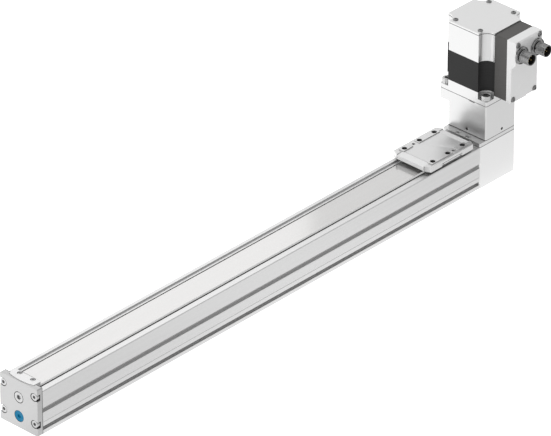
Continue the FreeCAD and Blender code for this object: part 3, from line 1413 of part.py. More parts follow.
def strip_guides():
    """Bars at both ends of the slide, sloped on top, that the strip runs under."""
    owner = body("strip_guide")
    side = sketch(owner, "XZ", "-guide_half + guide_play")
    inner = f"{SLIDE_HALF} - guide_len + guide_play"
    outline(side, [
        (inner, "guide_low"), (f"{SLIDE_HALF} - guide_lead", "guide_low"),
        (SLIDE_HALF, "guide_low + guide_lead"), (SLIDE_HALF, "guide_nose"), (inner, "slide_top"),
    ])
    raised(owner, side, "2 * (guide_half - guide_play)")
    turns = (Rotation(Vector(0, 0, 1), 180), Rotation())
    return gathered("strip_guides", [(owner, SLIDE_X, "0", "0", turn) for turn in turns])


CARRIAGE_TOP = "saddle_low"
CARRIAGE_SCREWS = corners_of("carriage_screw_side", "carriage_screw_side")


def saddle_plate():
    """Plate between the webs, screwed down on the carriage."""
    owner = body("saddle_plate")
    plan = sketch(owner, "XY", "saddle_low")
    half = f"({WEB_IN} - saddle_play)"
    cut_box_outline(plan, "-saddle_half", f"-{half}", "saddle_half", half, "edge_break")
    raised(owner, plan, "saddle_thick")
    holes = sketch(owner, "XY", SADDLE_TOP)
    rings(holes, CARRIAGE_SCREWS, "carriage_screw_dia + 0.3")
    sunk(owner, holes)
    heads = sketch(owner, "XY", SADDLE_TOP)
    rings(heads, CARRIAGE_SCREWS, "carriage_head_dia + 0.4")
    sunk(owner, heads, "carriage_head_tall + 0.1")
    for back, height in ((True, f"-({half})"), (False, half)):
        side = sketch(owner, "XZ", height)
        rings(side, [(f"{i} * saddle_screw_fore", "saddle_low + saddle_thick / 2") for i in (1, -1)],
              "saddle_screw_dia - 0.3")
        sunk(owner, side, "saddle_screw_long", back=back)
    place(owner, SLIDE_X)
    return node(owner, "saddle_plate")


def saddle_screws():
    """Low screws through the webs into the saddle's edges."""
    one = screw("saddle_screw", "saddle_head_dia", "saddle_head_tall", "saddle_screw_dia - 0.4",
                "saddle_screw_long + 1")
    return gathered("saddle_screws", [
        (one, f"{SLIDE_X} + {fore} * saddle_screw_fore", f"{side} * ({WEB_OUT} + saddle_head_tall)",
         "saddle_low + saddle_thick / 2", turn)
        for side, turn in SIDES for fore in (-1, 1)
    ])


def carriage_section(half, low, high):
    """Cross section of the carriage: a block that reaches around the rail."""
    flank = rail_flank("rail_play")
    outer = [(f"{half} - 1.5", low), (half, f"{low} + 1.5"), (half, f"{high} - 2"), (f"{half} - 2", high)]
    inner = [(flank[0][0], low)] + flank[1:]
    over = outer + [(f"-({x})", z) for x, z in reversed(outer)]
    return over + [(f"-({x})", z) for x, z in inner] + list(reversed(inner))


def carriage():
    """Ball carriage: steel block with an end piece on each side."""
    owner = body("carriage_block")
    cross = sketch(owner, "YZ", "-carriage_len / 2 + seal_len")
    outline(cross, carriage_section("carriage_half", "carriage_low", CARRIAGE_TOP))
    raised(owner, cross, "carriage_len - 2 * seal_len")
    threads = sketch(owner, "XY", CARRIAGE_TOP)
    rings(threads, CARRIAGE_SCREWS, "carriage_screw_dia")
    sunk(owner, threads, "carriage_thread_deep")
    place(owner, SLIDE_X)
    node(owner, "carriage_block")
    end = body("carriage_end")
    cross = sketch(end, "YZ", "0")
    lowered = f"({CARRIAGE_TOP} - ({CARRIAGE_TOP} - {RAIL_TOP}) / 10)"
    outline(cross, carriage_section("(carriage_half - 0.3)", "carriage_low", lowered))
    raised(end, cross, "seal_len")
    ends = (f"{SLIDE_X} - carriage_len / 2", f"{SLIDE_X} + carriage_len / 2 - seal_len")
    group("carriage_ends", end, [(x, "0", "0") for x in ends])
    one = screw("carriage_screw", "carriage_head_dia", "carriage_head_tall", "carriage_screw_dia - 0.1",
                "saddle_thick - carriage_head_tall + carriage_thread_deep - 0.5")
    spots = [(f"{SLIDE_X} + {x}", y, f"{SADDLE_TOP} - 0.1") for x, y in CARRIAGE_SCREWS]
    group("carriage_screws", one, spots)


def lube_covers():
    """Cover strips in the slide's sides, each held by two small screws."""
    cover = body("lube_cover")
    face = sketch(cover, "XY")
    half = "(lube_half - guide_play)"
    low, high = "-lube_tall / 2 + guide_play", "lube_tall / 2 - guide_play"
    box_outline(face, f"-{half}", low, half, high)
    rings(face, [(f"{i} * lube_screw_fore", "0") for i in (1, -1)], "lube_screw_dia")
    raised(cover, face, "lube_deep - lube_drop")
    tiny = screw("lube_screw", "lube_screw_dia - 0.1", "lube_deep - 0.5", "lube_screw_dia - 0.2", "0.2")
    high = "lube_low + lube_tall / 2"
    gathered("lube_covers", [(cover, SLIDE_X, f"{side} * ({HALF} - lube_deep)", high, turn)
                             for side, turn in SIDES])
    gathered("lube_cover_screws", [
        (tiny, f"{SLIDE_X} + {fore} * lube_screw_fore", f"{side} * ({HALF} - lube_drop)", high, turn)
        for side, turn in SIDES for fore in (-1, 1)
    ])


class BeltPath:
    """Where the belt runs: s = 0 where it meets the drive pulley on the clamped side (+Y), and s grows
    around the drive pulley, back along -Y, around the idler and on towards the clamp."""

    def __init__(self):
        self.r = number(PITCH_R)
        self.drive = number(MOTOR_X)
        self.idler = number(IDLER_X)
        self.wrap = math.pi * self.r
        self.span = self.drive - self.idler
        middle = number(f"{SLIDE_X} + clamp_jaw_start + clamp_jaw_len / 2")
        gap = number("belt_end_gap") / 2
        self.start = -(self.drive - middle - gap)
        self.end = 2 * self.wrap + self.span + (middle - gap - self.idler)

    def at(self, s, inward):
        """A point beside the pitch line, moved towards the inside of the loop."""
        r = self.r - inward
        if s < 0:
            return Vector(self.drive + s, r, 0)
        if s < self.wrap:
            a = math.pi / 2 - s / self.r
            return Vector(self.drive + r * math.cos(a), r * math.sin(a), 0)
        s -= self.wrap
        if s < self.span:
            return Vector(self.drive - s, -r, 0)
        s -= self.span
        if s < self.wrap:
            a = -math.pi / 2 - s / self.r
            return Vector(self.idler + r * math.cos(a), r * math.sin(a), 0)
        return Vector(self.idler + s - self.wrap, r, 0)

    def teeth(self):
        """Places of the tooth middles, clear of the two ends."""
        pitch = number("belt_pitch")
        edge = number("tooth_root") / 2 + 0.2
        first = math.ceil((self.start + edge) / pitch)
        last = math.floor((self.end - edge) / pitch)
        return [k * pitch for k in range(first, last + 1)]


def toothed_belt():
    """Belt on edge with a tooth at every pitch, its two ends close together in the clamp."""
    path = BeltPath()
    base, back = number("cord_depth"), -number("back_thick")
    tip = base + number("tooth_tall")
    root, point = number("tooth_root") / 2, number("tooth_tip") / 2
    inside = [path.at(path.start, base)]
    for s in path.teeth():
        inside += [path.at(s - root, base), path.at(s - point, tip), path.at(s + point, tip),
                   path.at(s + root, base)]
    inside.append(path.at(path.end, base))
    edges = [Part.makeLine(a, b) for a, b in zip(inside, inside[1:])]
    edges.append(Part.makeLine(inside[-1], path.at(path.end, back)))
    stops = [path.end, 2 * path.wrap + path.span, path.wrap + path.span, path.wrap, 0, path.start]
    for k, (s, t) in enumerate(zip(stops, stops[1:])):
        a, b = path.at(s, back), path.at(t, back)
        if k in (1, 3):
            edges.append(Part.Arc(a, path.at((s + t) / 2, back), b).toShape())
        else:
            edges.append(Part.makeLine(a, b))
    edges.append(Part.makeLine(path.at(path.start, back), inside[0]))
    face = Part.Face(Part.Wire(edges))
    belt = doc.addObject("Part::Feature", "toothed_belt")
    belt.Shape = face.extrude(Vector(0, 0, number("belt_wide")))
    place(belt, z=BELT_LOW)
    return node(belt, "toothed_belt")


def belt_clamp():
    """Jaw with grooves that match the belt's teeth, a plain plate behind the belt, and two screws."""
    path = BeltPath()
    low = number(f"{SLIDE_X} + clamp_jaw_start")
    high = low + number("clamp_jaw_len")
    play = number("mesh_play")
    land = path.r - number("cord_depth") - play
    root = land - number("tooth_tall") - play
    narrow, wide = number("tooth_tip") / 2 + play, number("tooth_root") / 2 + play
    inner = number("clamp_jaw_in")
    tall = number(f"clamp_jaw_top - {SADDLE_TOP}")
    solid = Part.makeBox(high - low, land - inner, tall, Vector(low, inner, 0))
    for s in path.teeth():
        spot = path.at(s, 0)
        if spot.y > 0 and low - wide < spot.x < high + wide:
            groove = Part.makePolygon([
                Vector(spot.x - wide, land, 0), Vector(spot.x - narrow, root, 0),
                Vector(spot.x + narrow, root, 0), Vector(spot.x + wide, land, 0), Vector(spot.x, land + 1, 0),
                Vector(spot.x - wide, land, 0),
            ])
            solid = solid.cut(Part.Face(groove).extrude(Vector(0, 0, tall)))
    middle = (low + high) / 2
    for side in (1, -1):
        x = middle + side * number("clamp_screw_fore")
        spot = Vector(x, 0, number(f"clamp_jaw_top - {SADDLE_TOP} - clamp_screw_drop"))
        hole = Part.makeCylinder(number("clamp_screw_dia / 2 + 0.1"), land + 1, spot, Vector(0, 1, 0))
        solid = solid.cut(hole)
    jaw = doc.addObject("Part::Feature", "belt_clamp_jaw")
    jaw.Shape = solid
    place(jaw, z=SADDLE_TOP)
    node(jaw, "belt_clamp_jaw")
    plate = body("belt_clamp_plate")
    near = f"({PITCH_R} + back_thick + 0.08)"
    face = sketch(plate, "XZ", f"-({WEB_IN} - 0.1)")
    box_outline(face, "clamp_jaw_start", SADDLE_TOP, "clamp_jaw_start + clamp_jaw_len", "clamp_jaw_top")
    spots = [(f"clamp_jaw_start + clamp_jaw_len / 2 + {i} * clamp_screw_fore",
              "clamp_jaw_top - clamp_screw_drop") for i in (1, -1)]
    rings(face, spots, "clamp_screw_dia")
    raised(plate, face, f"{WEB_IN} - 0.1 - {near}")
    place(plate, SLIDE_X)
    node(plate, "belt_clamp_plate")
    one = screw("belt_clamp_screw", "clamp_screw_head", "clamp_screw_head_tall", "clamp_screw_dia - 0.1",
                f"{WEB_IN} - 0.2 - clamp_jaw_in")
    group("belt_clamp_screws", one, [(f"{SLIDE_X} + {x}", "clamp_jaw_in - clamp_screw_head_tall", z)
                                     for x, z in spots], UP_TO_MINUS_Y)


def buffers():
    """Rubber stops on the cap and on the housing that the saddle meets at the ends of its travel."""
    near_long = f"{SLIDE_X} - near_reach - saddle_half - {NEAR} - stop_gap"
    far_long = f"{FAR} - {SLIDE_X} - far_reach - saddle_half - stop_gap"
    stops = []
    for label, length, x, turn in (("near_buffer", near_long, NEAR, UP_TO_X),
                                   ("far_buffer", far_long, FAR, UP_TO_MINUS_X)):
        stop = turned(label, [
            ("0", "0"), ("buffer_dia / 2", "0"), ("buffer_dia / 2", f"({length}) - edge_break"),
            ("buffer_dia / 2 - edge_break", length), ("0", length),
        ])
        stops += [(stop, x, f"{side} * buffer_side", "buffer_high", turn) for side in (1, -1)]
    return gathered("end_buffers", stops)


def finish():
    """Recomputes, checks every object and writes one file for each piece."""
    doc.recompute()
    failed = [o.Name for o in doc.Objects if "Invalid" in o.State or "Error" in o.State]
    assert not failed, f"objects that failed: {failed}"
    os.makedirs("parts", exist_ok=True)
    for piece in NODES:
        shape = piece.Shape
        assert not shape.isNull() and shape.isValid() and shape.Solids, f"{piece.Label} has no valid solid"
        shape.exportStep(f"parts/{piece.Label}.step")
        box = shape.BoundBox
        print(f"{piece.Label:26s} {len(shape.Solids)} solids  X {box.XMin:.1f} {box.XMax:.1f}  "
              f"Y {box.YMin:.1f} {box.YMax:.1f}  Z {box.ZMin:.1f} {box.ZMax:.1f}")
    print(len(NODES), "pieces")


FRAME_PARTS = (profile, guide_rail, rail_screws, cover_strip, end_cap, end_cap_screws, strip_clamp,
               strip_screws, tension_screw, idler_yoke, idler_pin, idler_pulley, idler_bearings, port_plug,
               buffers)
DRIVE_PARTS = (drive_housing, housing_screws, top_plate, drive_shaft, drive_pulley, shaft_bearings, coupling,
               coupling_housing, tower_screws, toothed_belt)
MOTOR_PARTS = (motor_flange, motor_screws, stator_stack, rotor, motor_shaft, rear_housing, motor_cover,
               electronics_frame, circuit_board, electronics_cover, module_screws, connectors)
SLIDE_PARTS = (slide_body, strip_guides, saddle_plate, saddle_screws, carriage, lube_covers, belt_clamp)

for make in FRAME_PARTS + DRIVE_PARTS + MOTOR_PARTS + SLIDE_PARTS:
    make()
finish()
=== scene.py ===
# %% [markdown]
# # A belt driven linear axis
# The object is a slim aluminium axis that lies on its underside. A slide runs on its top, a thin steel strip
# covers the slot that the slide reaches through, and an upright stepper motor stands on the drive end.
# The CAD model is a fixed frame here: it says where everything is. This lesson gives each surface its finish
# and swaps the pieces that need finer forms, such as screws and plugs, for better ones in the same places.

# %% Load the frame
import json
import math
import bmesh
import bpy
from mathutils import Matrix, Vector


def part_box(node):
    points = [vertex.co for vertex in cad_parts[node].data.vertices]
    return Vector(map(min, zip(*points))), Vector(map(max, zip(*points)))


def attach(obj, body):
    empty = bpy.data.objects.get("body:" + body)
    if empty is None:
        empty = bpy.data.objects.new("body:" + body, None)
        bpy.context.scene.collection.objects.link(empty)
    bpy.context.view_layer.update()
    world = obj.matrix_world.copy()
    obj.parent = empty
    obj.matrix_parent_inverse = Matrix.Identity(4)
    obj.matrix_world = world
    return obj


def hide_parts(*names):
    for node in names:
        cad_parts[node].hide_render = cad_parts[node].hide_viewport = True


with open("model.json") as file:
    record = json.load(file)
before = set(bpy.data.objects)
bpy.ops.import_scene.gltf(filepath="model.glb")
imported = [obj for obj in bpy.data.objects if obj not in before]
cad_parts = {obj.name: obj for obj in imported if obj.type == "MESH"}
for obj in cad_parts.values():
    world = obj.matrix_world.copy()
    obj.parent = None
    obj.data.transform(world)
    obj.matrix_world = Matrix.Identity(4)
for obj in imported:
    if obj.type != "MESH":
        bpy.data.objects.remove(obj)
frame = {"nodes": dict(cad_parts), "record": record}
NODES = frame["nodes"]
BODY_OF = {node: body for body, nodes in frame["record"]["behaviour"]["bodies"].items() for node in nodes}
SLOT_OF = {row["node"]: row["material_slot"] for row in frame["record"]["subparts"]}
MM = 0.001
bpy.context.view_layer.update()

# %% [markdown]
# ## Camera
# A long lens from far away keeps parallel edges almost parallel, which is how catalogue pictures of long
# parts are taken. Where the camera stands was worked out once from corners with known places. The lens then
# follows from how large one millimetre shows. The picture is 551 pixels wide.

# %% Place the camera
AZIMUTH, ELEVATION = math.radians(-47.088), math.radians(30.822)
DISTANCE = 6.1399
LOOK_AT = Vector((117.72, 77.55, 0)) * MM
PIXELS_WIDE = 551
FOCAL_PIXELS = 6845.6
back = Vector((math.sin(AZIMUTH) * math.cos(ELEVATION), -math.cos(AZIMUTH) * math.cos(ELEVATION),
               math.sin(ELEVATION)))
camera_data = bpy.data.cameras.new("camera")
camera_data.sensor_width = 36
camera_data.lens = FOCAL_PIXELS / PIXELS_WIDE * camera_data.sensor_width
camera_data.clip_end = 50
camera = bpy.data.objects.new("camera", camera_data)
bpy.context.scene.collection.objects.link(camera)
camera.location = LOOK_AT + back * DISTANCE
camera.rotation_euler = (-back).to_track_quat("-Z", "Y").to_euler()
bpy.context.scene.camera = camera
print("lens in mm:", round(camera_data.lens, 1))

# %% [markdown]
# ## Light
# Bare metal shows its surroundings more than its own colour. A photographer puts white cards around such a
# part and one dark card where a soft dark reflection gives the flat faces some depth. Here the world does
# both. Its pale sky is brighter behind the axis than in front of it, so the tops and the ends of the pieces
# shine while their long sides stay a calm grey, and one dark spot is mirrored by the slide and the tower.

# %% Make the surroundings
world = bpy.data.worlds.new("studio")
bpy.context.scene.world = world
world.use_nodes = True
sky = world.node_tree
sky.nodes.clear()
SKY_NEAR, SKY_FAR = 0.55, 1.6
BRIGHT_SIDE = Vector((-0.5, 0.85, 0.15)).normalized()
DARK_CARD = Vector((-0.63, 0.585, 0.512)).normalized()
CARD_RIM, CARD_CORE, CARD_SHADE = 0.93, 0.995, 0.1
looking = sky.nodes.new("ShaderNodeTexCoord")


def map_range(tree, value, steps, levels, interpolation="LINEAR"):
    """A node that turns a value's span, from one step to the other, into the span of the levels."""
    node = tree.nodes.new("ShaderNodeMapRange")
    node.interpolation_type = interpolation
    for socket, amount in zip(("From Min", "From Max", "To Min", "To Max"), (*steps, *levels)):
        node.inputs[socket].default_value = amount
    tree.links.new(value, node.inputs["Value"])
    return node.outputs["Result"]


def sky_pattern(direction, steps, levels, interpolation="LINEAR"):
    """A value that depends on how closely one looks towards a direction."""
    towards = sky.nodes.new("ShaderNodeVectorMath")
    towards.operation = "DOT_PRODUCT"
    towards.inputs[1].default_value = direction
    sky.links.new(looking.outputs["Generated"], towards.inputs[0])
    return map_range(sky, towards.outputs["Value"], steps, levels, interpolation)


both = sky.nodes.new("ShaderNodeMath")
both.operation = "MULTIPLY"
sky.links.new(sky_pattern(BRIGHT_SIDE, (-1, 1), (SKY_NEAR, SKY_FAR)), both.inputs[0])
sky.links.new(sky_pattern(DARK_CARD, (CARD_RIM, CARD_CORE), (1, CARD_SHADE), "SMOOTHSTEP"), both.inputs[1])
backdrop = sky.nodes.new("ShaderNodeBackground")
sky.links.new(both.outputs["Value"], backdrop.inputs["Strength"])
backdrop.inputs["Color"].default_value = (1, 1, 1, 1)
output = sky.nodes.new("ShaderNodeOutputWorld")
sky.links.new(backdrop.outputs["Background"], output.inputs["Surface"])
bpy.context.scene.view_settings.view_transform = "Standard"
print("sky from", SKY_NEAR, "to", SKY_FAR, "and a dark card of", CARD_SHADE)

# %% [markdown]
# ### Soft boxes
# Two large soft boxes, one beyond the end cap and one overhead, light the whole axis and leave no hard
# shadow. A third, weak one hangs where the steel strip mirrors it, so the strip's near part shines and the
# rest stays grey. Spot lights would also do, but bare metal shows a lamp's outline, and a box has a calm one.


# %% Hang the soft boxes
def area_light(name, place, aim, size, power):
    """A rectangular soft box that looks at a point."""
    data = bpy.data.lights.new(name, "AREA")
    data.shape = "RECTANGLE"
    data.size, data.size_y = size
    data.energy = power
    lamp = bpy.data.objects.new(name, data)
    bpy.context.scene.collection.objects.link(lamp)
    lamp.location = place
    lamp.rotation_euler = (Vector(aim) - Vector(place)).to_track_quat("-Z", "Y").to_euler()
    print(name, "light:", power, "W")


area_light("key", (-2.6, 0.5, 1.1), (0, 0, 0), (1.2, 1.2), 10)
area_light("top", (0.2, 0.3, 2.6), (0, 0, 0), (1.6, 1.6), 3)
area_light("strip", (0.13, 0.351, 0.352), (-0.247, 0, 0.045), (0.45, 0.3), 0.15)

# %% [markdown]
# ### Floor
# The floor of a catalogue picture is overlit until it reads as plain white. A glow in its shader does that.
# The upright faces mirror the floor, so its glow also models them. The glow itself comes after the finishes.

# %% Lay the floor
FLOOR_HALF, FLOOR_DROP = 6, 0.3 * MM
floor_mesh = bpy.data.meshes.new("floor")
floor_mesh.from_pydata([(-FLOOR_HALF, -FLOOR_HALF, 0), (FLOOR_HALF, -FLOOR_HALF, 0),
                        (FLOOR_HALF, FLOOR_HALF, 0), (-FLOOR_HALF, FLOOR_HALF, 0)], [], [(0, 1, 2, 3)])
floor = bpy.data.objects.new("floor", floor_mesh)
floor.location.z = -FLOOR_DROP
bpy.context.scene.collection.objects.link(floor)
print("floor:", 2 * FLOOR_HALF, "m wide")

# %% [markdown]
# ## Finishes
# Every finish starts from one Principled shader. What makes metal look real at this size is a slight, uneven
# change of roughness: drawn lines along an extrusion, a fine even grain on a blasted casting, a coarser one
# on turned steel. The patterns read Object coordinates, so they stay on the piece when it moves.

# %% Helpers for finishes
FINISH = {}
FINE = (1500, 1500, 1500)
NOISE_SPAN = (0.3, 0.7)   # a noise seldom leaves this span, so colours and roughness change within it
RELIEF = 0.05 * MM


def grey(value, warm=0.0):
    """A grey as it shows on screen (0 to 255), turned into the linear value that a shader takes."""
    linear = ((value / 255 + 0.055) / 1.055) ** 2.4
    return (linear * (1 + warm), linear, linear * (1 - warm))


def finish(name, colours, roughs, metal=0.0, waves=FINE, bump=0.0, detail=3.0):
    """A finish whose colour, roughness and height follow one noise. Its waves are per metre on each axis."""
    made = bpy.data.materials.new(name)
    made.use_nodes = True
    tree = made.node_tree
    base = tree.nodes["Principled BSDF"]
    base.inputs["Metallic"].default_value = metal
    where = tree.nodes.new("ShaderNodeTexCoord")
    stretch = tree.nodes.new("ShaderNodeMapping")
    stretch.inputs["Scale"].default_value = waves
    noise = tree.nodes.new("ShaderNodeTexNoise")
    noise.inputs["Scale"].default_value = 1
    noise.inputs["Detail"].default_value = detail
    tree.links.new(where.outputs["Object"], stretch.inputs["Vector"])
    tree.links.new(stretch.outputs["Vector"], noise.inputs["Vector"])
    tint = tree.nodes.new("ShaderNodeValToRGB")
    for stop, colour, position in zip(tint.color_ramp.elements, colours, NOISE_SPAN):
        stop.position = position
        stop.color = (*colour, 1)
    tree.links.new(noise.outputs["Fac"], tint.inputs["Fac"])
    tree.links.new(tint.outputs["Color"], base.inputs["Base Color"])
    tree.links.new(map_range(tree, noise.outputs["Fac"], NOISE_SPAN, roughs), base.inputs["Roughness"])
    if bump:
        relief = tree.nodes.new("ShaderNodeBump")
        relief.inputs["Strength"].default_value = bump
        relief.inputs["Distance"].default_value = RELIEF
        tree.links.new(noise.outputs["Fac"], relief.inputs["Height"])
        tree.links.new(relief.outputs["Normal"], base.inputs["Normal"])
    FINISH[name] = made
    return base


# %% [markdown]
# ### Aluminium
# The long profile is pressed through a die and anodised, which leaves very fine lines along its length. The
# rolled steel strip has finer lines still. The housings are milled and blasted, so they have no direction.
# The slide and the tower are a little smoother and mirror each other softly.

# %% Finishes of the aluminium and the strip
LINES, STRIP_LINES = (3, 900, 900), (2, 1400, 1400)
finish("drawn_aluminium", (grey(197), grey(202)), (0.3, 0.36), 0.9, LINES, 0.05)
finish("blasted_aluminium", (grey(172), grey(177)), (0.38, 0.44), 0.85, FINE, 0.03)
finish("bright_housing", (grey(221), grey(225)), (0.42, 0.5), 0.75, FINE, 0.03)
finish("milled_aluminium", (grey(200), grey(202)), (0.33, 0.35), 0.92, FINE)
finish("motor_casting", (grey(201), grey(203)), (0.28, 0.3), 0.85, FINE)
finish("bright_strip", (grey(190, 0.008), grey(194, 0.008)), (0.13, 0.17), 0.95, STRIP_LINES, 0.02)
print("finishes so far:", len(FINISH))

# %% [markdown]
# ### Steel, plating and black parts
# The motor's middle is a stack of thin black sheets, and the edge of each sheet shows as a faint line. Most
# screws are zinc plated, those of the motor's covers are burnished, the plugs are nickel plated, and the
# electronics frame has a dark warm coat. Two finishes paint light and shade where hardly any light gets in:
# the strip's edges, which are turned down into narrow gaps, get a faint painted glow, and threads, joints and
# recesses get a nearly black painted shade.

# %% Steel and coated finishes
TURNED, GROUND, SHEETS = (900, 900, 900), (200, 900, 900), (4, 4, 2000)
DULL, EDGE_PAINTED_GLOW = 0.15, 0.3
base = finish("black_laminations", (grey(30), grey(40)), (0.45, 0.6), 0.0, SHEETS, 0.3, 1.0)
base.inputs["Specular IOR Level"].default_value = DULL
finish("dark_coat", (grey(56, 0.05), grey(64, 0.05)), (0.5, 0.62), 0.0, FINE, 0.1)
finish("ground_steel", (grey(182), grey(198)), (0.25, 0.38), 1.0, GROUND)
finish("zinc_plate", (grey(168), grey(188)), (0.22, 0.32), 1.0, TURNED)
finish("burnished_steel", (grey(108), grey(130)), (0.24, 0.34), 1.0, TURNED)
finish("nickel_plate", (grey(120), grey(150)), (0.16, 0.26), 1.0, TURNED)
finish("gold_plate", ((0.4, 0.3, 0.14), (0.5, 0.38, 0.18)), (0.2, 0.32), 1.0, TURNED)
# Painted light: the strip's turned-down edges glow with an emission of their own, in place of light that
# can't reach them.
base = finish("strip_edge_painted_glow", (grey(208), grey(212)), (0.5, 0.6), 0.2, FINE)
base.inputs["Emission Color"].default_value = (1, 1, 1, 1)
base.inputs["Emission Strength"].default_value = EDGE_PAINTED_GLOW
# Painted shade: a nearly black finish for threads, joints and recesses, where hardly any light gets in.
finish("painted_gap_shade", (grey(40), grey(52)), (0.5, 0.6), 0.6, TURNED)
finish("sintered_magnet", (grey(110), grey(130)), (0.45, 0.6), 0.8, TURNED)
print("finishes so far:", len(FINISH))

# %% [markdown]
# ### Plastics, rubber and boards
# The cover of the electronics is moulded in a light grey with a faint metallic sheen, the strip guides of the
# slide in a plain light plastic. Rubber and soft plastic are rough and hardly shine. The belt is cast as one
# long strip, so its grain is drawn out along its run.

# %% Plastic finishes
EVEN, BELT_LINES = (700, 700, 700), (40, 40, 900)
finish("moulded_grey", (grey(205), grey(211)), (0.4, 0.5), 0.25, FINE, 0.08)
finish("moulded_white", (grey(206), grey(210)), (0.42, 0.5), 0.0, FINE, 0.08)
finish("black_insert", (grey(18), grey(26)), (0.35, 0.45), 0.0, EVEN)
base = finish("blue_plug", ((0.0, 0.12, 0.23), (0.0, 0.14, 0.27)), (0.45, 0.55), 0.0, EVEN)
base.inputs["Specular IOR Level"].default_value = DULL
finish("black_rubber", (grey(30), grey(40)), (0.68, 0.82), 0.0, EVEN, 0.2)
finish("red_rubber", ((0.4, 0.04, 0.03), (0.5, 0.07, 0.05)), (0.55, 0.7), 0.0, EVEN, 0.1)
finish("belt_polyurethane", (grey(226, 0.05), grey(236, 0.04)), (0.5, 0.62), 0.0, BELT_LINES, 0.15)
finish("green_board", ((0.015, 0.13, 0.055), (0.03, 0.19, 0.085)), (0.3, 0.45), 0.0, EVEN)
print("finishes:", len(FINISH))

# %% [markdown]
# ### The floor's glow
# The floor's painted glow is stronger behind the axis than in front of it, which models the upright faces
# that mirror it. One soft painted pool of light in front puts a gentle highlight on the long side. More lamps
# could do this, but they would also light the tops.

# %% Let the floor glow
GLOW_FRONT, GLOW_BEHIND, GLOW_RISE = 0.93, 1.45, (-0.06, 0.02)
GLOW_POOL, POOL_AT, POOL_REACH = 0.15, (0.08, -0.1, 0), 0.3
COARSE = (20, 20, 20)
# The floor's brightness is painted light: an emission, stronger behind the axis, with a pool in front.
base = finish("floor_painted_glow", (grey(96), grey(98)), (0.85, 0.95), 0.0, COARSE)
base.inputs["Emission Color"].default_value = (1, 1, 1, 1)
tree = FINISH["floor_painted_glow"].node_tree
where = tree.nodes.new("ShaderNodeTexCoord")
split = tree.nodes.new("ShaderNodeSeparateXYZ")
tree.links.new(where.outputs["Object"], split.inputs["Vector"])
away = tree.nodes.new("ShaderNodeVectorMath")
away.operation = "DISTANCE"
away.inputs[1].default_value = POOL_AT
tree.links.new(where.outputs["Object"], away.inputs[0])
rise = map_range(tree, split.outputs["Y"], GLOW_RISE, (GLOW_FRONT, GLOW_BEHIND), "SMOOTHSTEP")
pool = map_range(tree, away.outputs["Value"], (0, POOL_REACH), (GLOW_POOL, 0), "SMOOTHSTEP")
total = tree.nodes.new("ShaderNodeMath")
tree.links.new(rise, total.inputs[0])
tree.links.new(pool, total.inputs[1])
tree.links.new(total.outputs["Value"], base.inputs["Emission Strength"])
floor.data.materials.append(FINISH["floor_painted_glow"])
print("glow in front and behind:", GLOW_FRONT, GLOW_BEHIND)

# %% [markdown]
# ## Which piece gets which finish
# The record names one material slot for each CAD node, so one table is enough to dress every node. A second,
# shorter table names the few nodes whose surface differs from the others of the same material.

# %% Dress the CAD nodes
FINISH_OF_SLOT = {
    "profile_aluminium": "blasted_aluminium", "motor_aluminium": "motor_casting",
    "slide_aluminium": "milled_aluminium", "pulley_aluminium": "blasted_aluminium",
    "laminated_steel": "black_laminations", "steel": "ground_steel", "strip_steel": "bright_strip",
    "screw_steel": "zinc_plate", "nickel": "nickel_plate", "gold": "gold_plate", "magnet": "sintered_magnet",
    "belt_rubber": "belt_polyurethane", "buffer_rubber": "black_rubber", "spider_rubber": "red_rubber",
    "guide_plastic": "moulded_white", "cover_plastic": "moulded_grey", "blue_plastic": "blue_plug",
    "insert_plastic": "black_insert", "dark_frame": "dark_coat", "circuit_board": "green_board",
}
FINISH_OF_NODE = {
    "profile": "drawn_aluminium", "coupling_housing": "milled_aluminium", "drive_housing": "bright_housing",
    "top_plate": "milled_aluminium", "strip_clamp": "milled_aluminium",
    "motor_cover_screws": "burnished_steel", "electronics_screws": "burnished_steel",
}


def finish_of(node):
    """The finish of a node: its own, if it has one, or that of its slot."""
    return FINISH[FINISH_OF_NODE.get(node, FINISH_OF_SLOT[SLOT_OF[node]])]


for node, thing in NODES.items():
    for place in thing.material_slots:
        place.material = finish_of(node)
print("dressed nodes:", len(NODES))

# %% [markdown]
# ## Rounded edges
# No milled or moulded part has a perfectly sharp edge, and the thin bright line along an edge is what tells
# the eye that a face ends. The CAD nodes may not be changed, so a copy of a node is merged into one skin, its
# flat faces are joined, and a Bevel modifier breaks its edges by a few tenths of a millimetre.

# %% Helpers that copy a node
SAME_PLACE, SAME_PLANE = 0.002 * MM, math.radians(1)


def skin_of(node):
    """A node's surface as one connected skin with its flat faces joined."""
    skin = bmesh.new()
    skin.from_mesh(NODES[node].data)
    bmesh.ops.remove_doubles(skin, verts=skin.verts, dist=SAME_PLACE)
    bmesh.ops.dissolve_limit(skin, angle_limit=SAME_PLANE, verts=skin.verts, edges=skin.edges)
    return skin


def piece_from(skin, name, material):
    """Makes an object of its own from a skin, in the scene and with one finish."""
    mesh = bpy.data.meshes.new(name)
    skin.to_mesh(mesh)
    skin.free()
    mesh.materials.clear()
    mesh.materials.append(material)
    thing = bpy.data.objects.new(name, mesh)
    bpy.context.scene.collection.objects.link(thing)
    return thing


def shade(thing, angle=35):
    """Smooth shading, but not over edges sharper than the angle in degrees, and the first finish all over."""
    for face in thing.data.polygons:
        face.use_smooth = True
        face.material_index = 0
    thing.data.set_sharp_from_angle(angle=math.radians(angle))


def apply_modifiers(thing):
    """Turns the modifiers' result into the piece's own mesh."""
    bpy.context.view_layer.update()
    solid = bpy.data.meshes.new_from_object(thing.evaluated_get(bpy.context.evaluated_depsgraph_get()))
    thing.modifiers.clear()
    thing.data = solid


def stands_for(thing, node):
    """The piece replaces a CAD node and rides on its body."""
    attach(thing, BODY_OF[node])
    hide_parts(node)


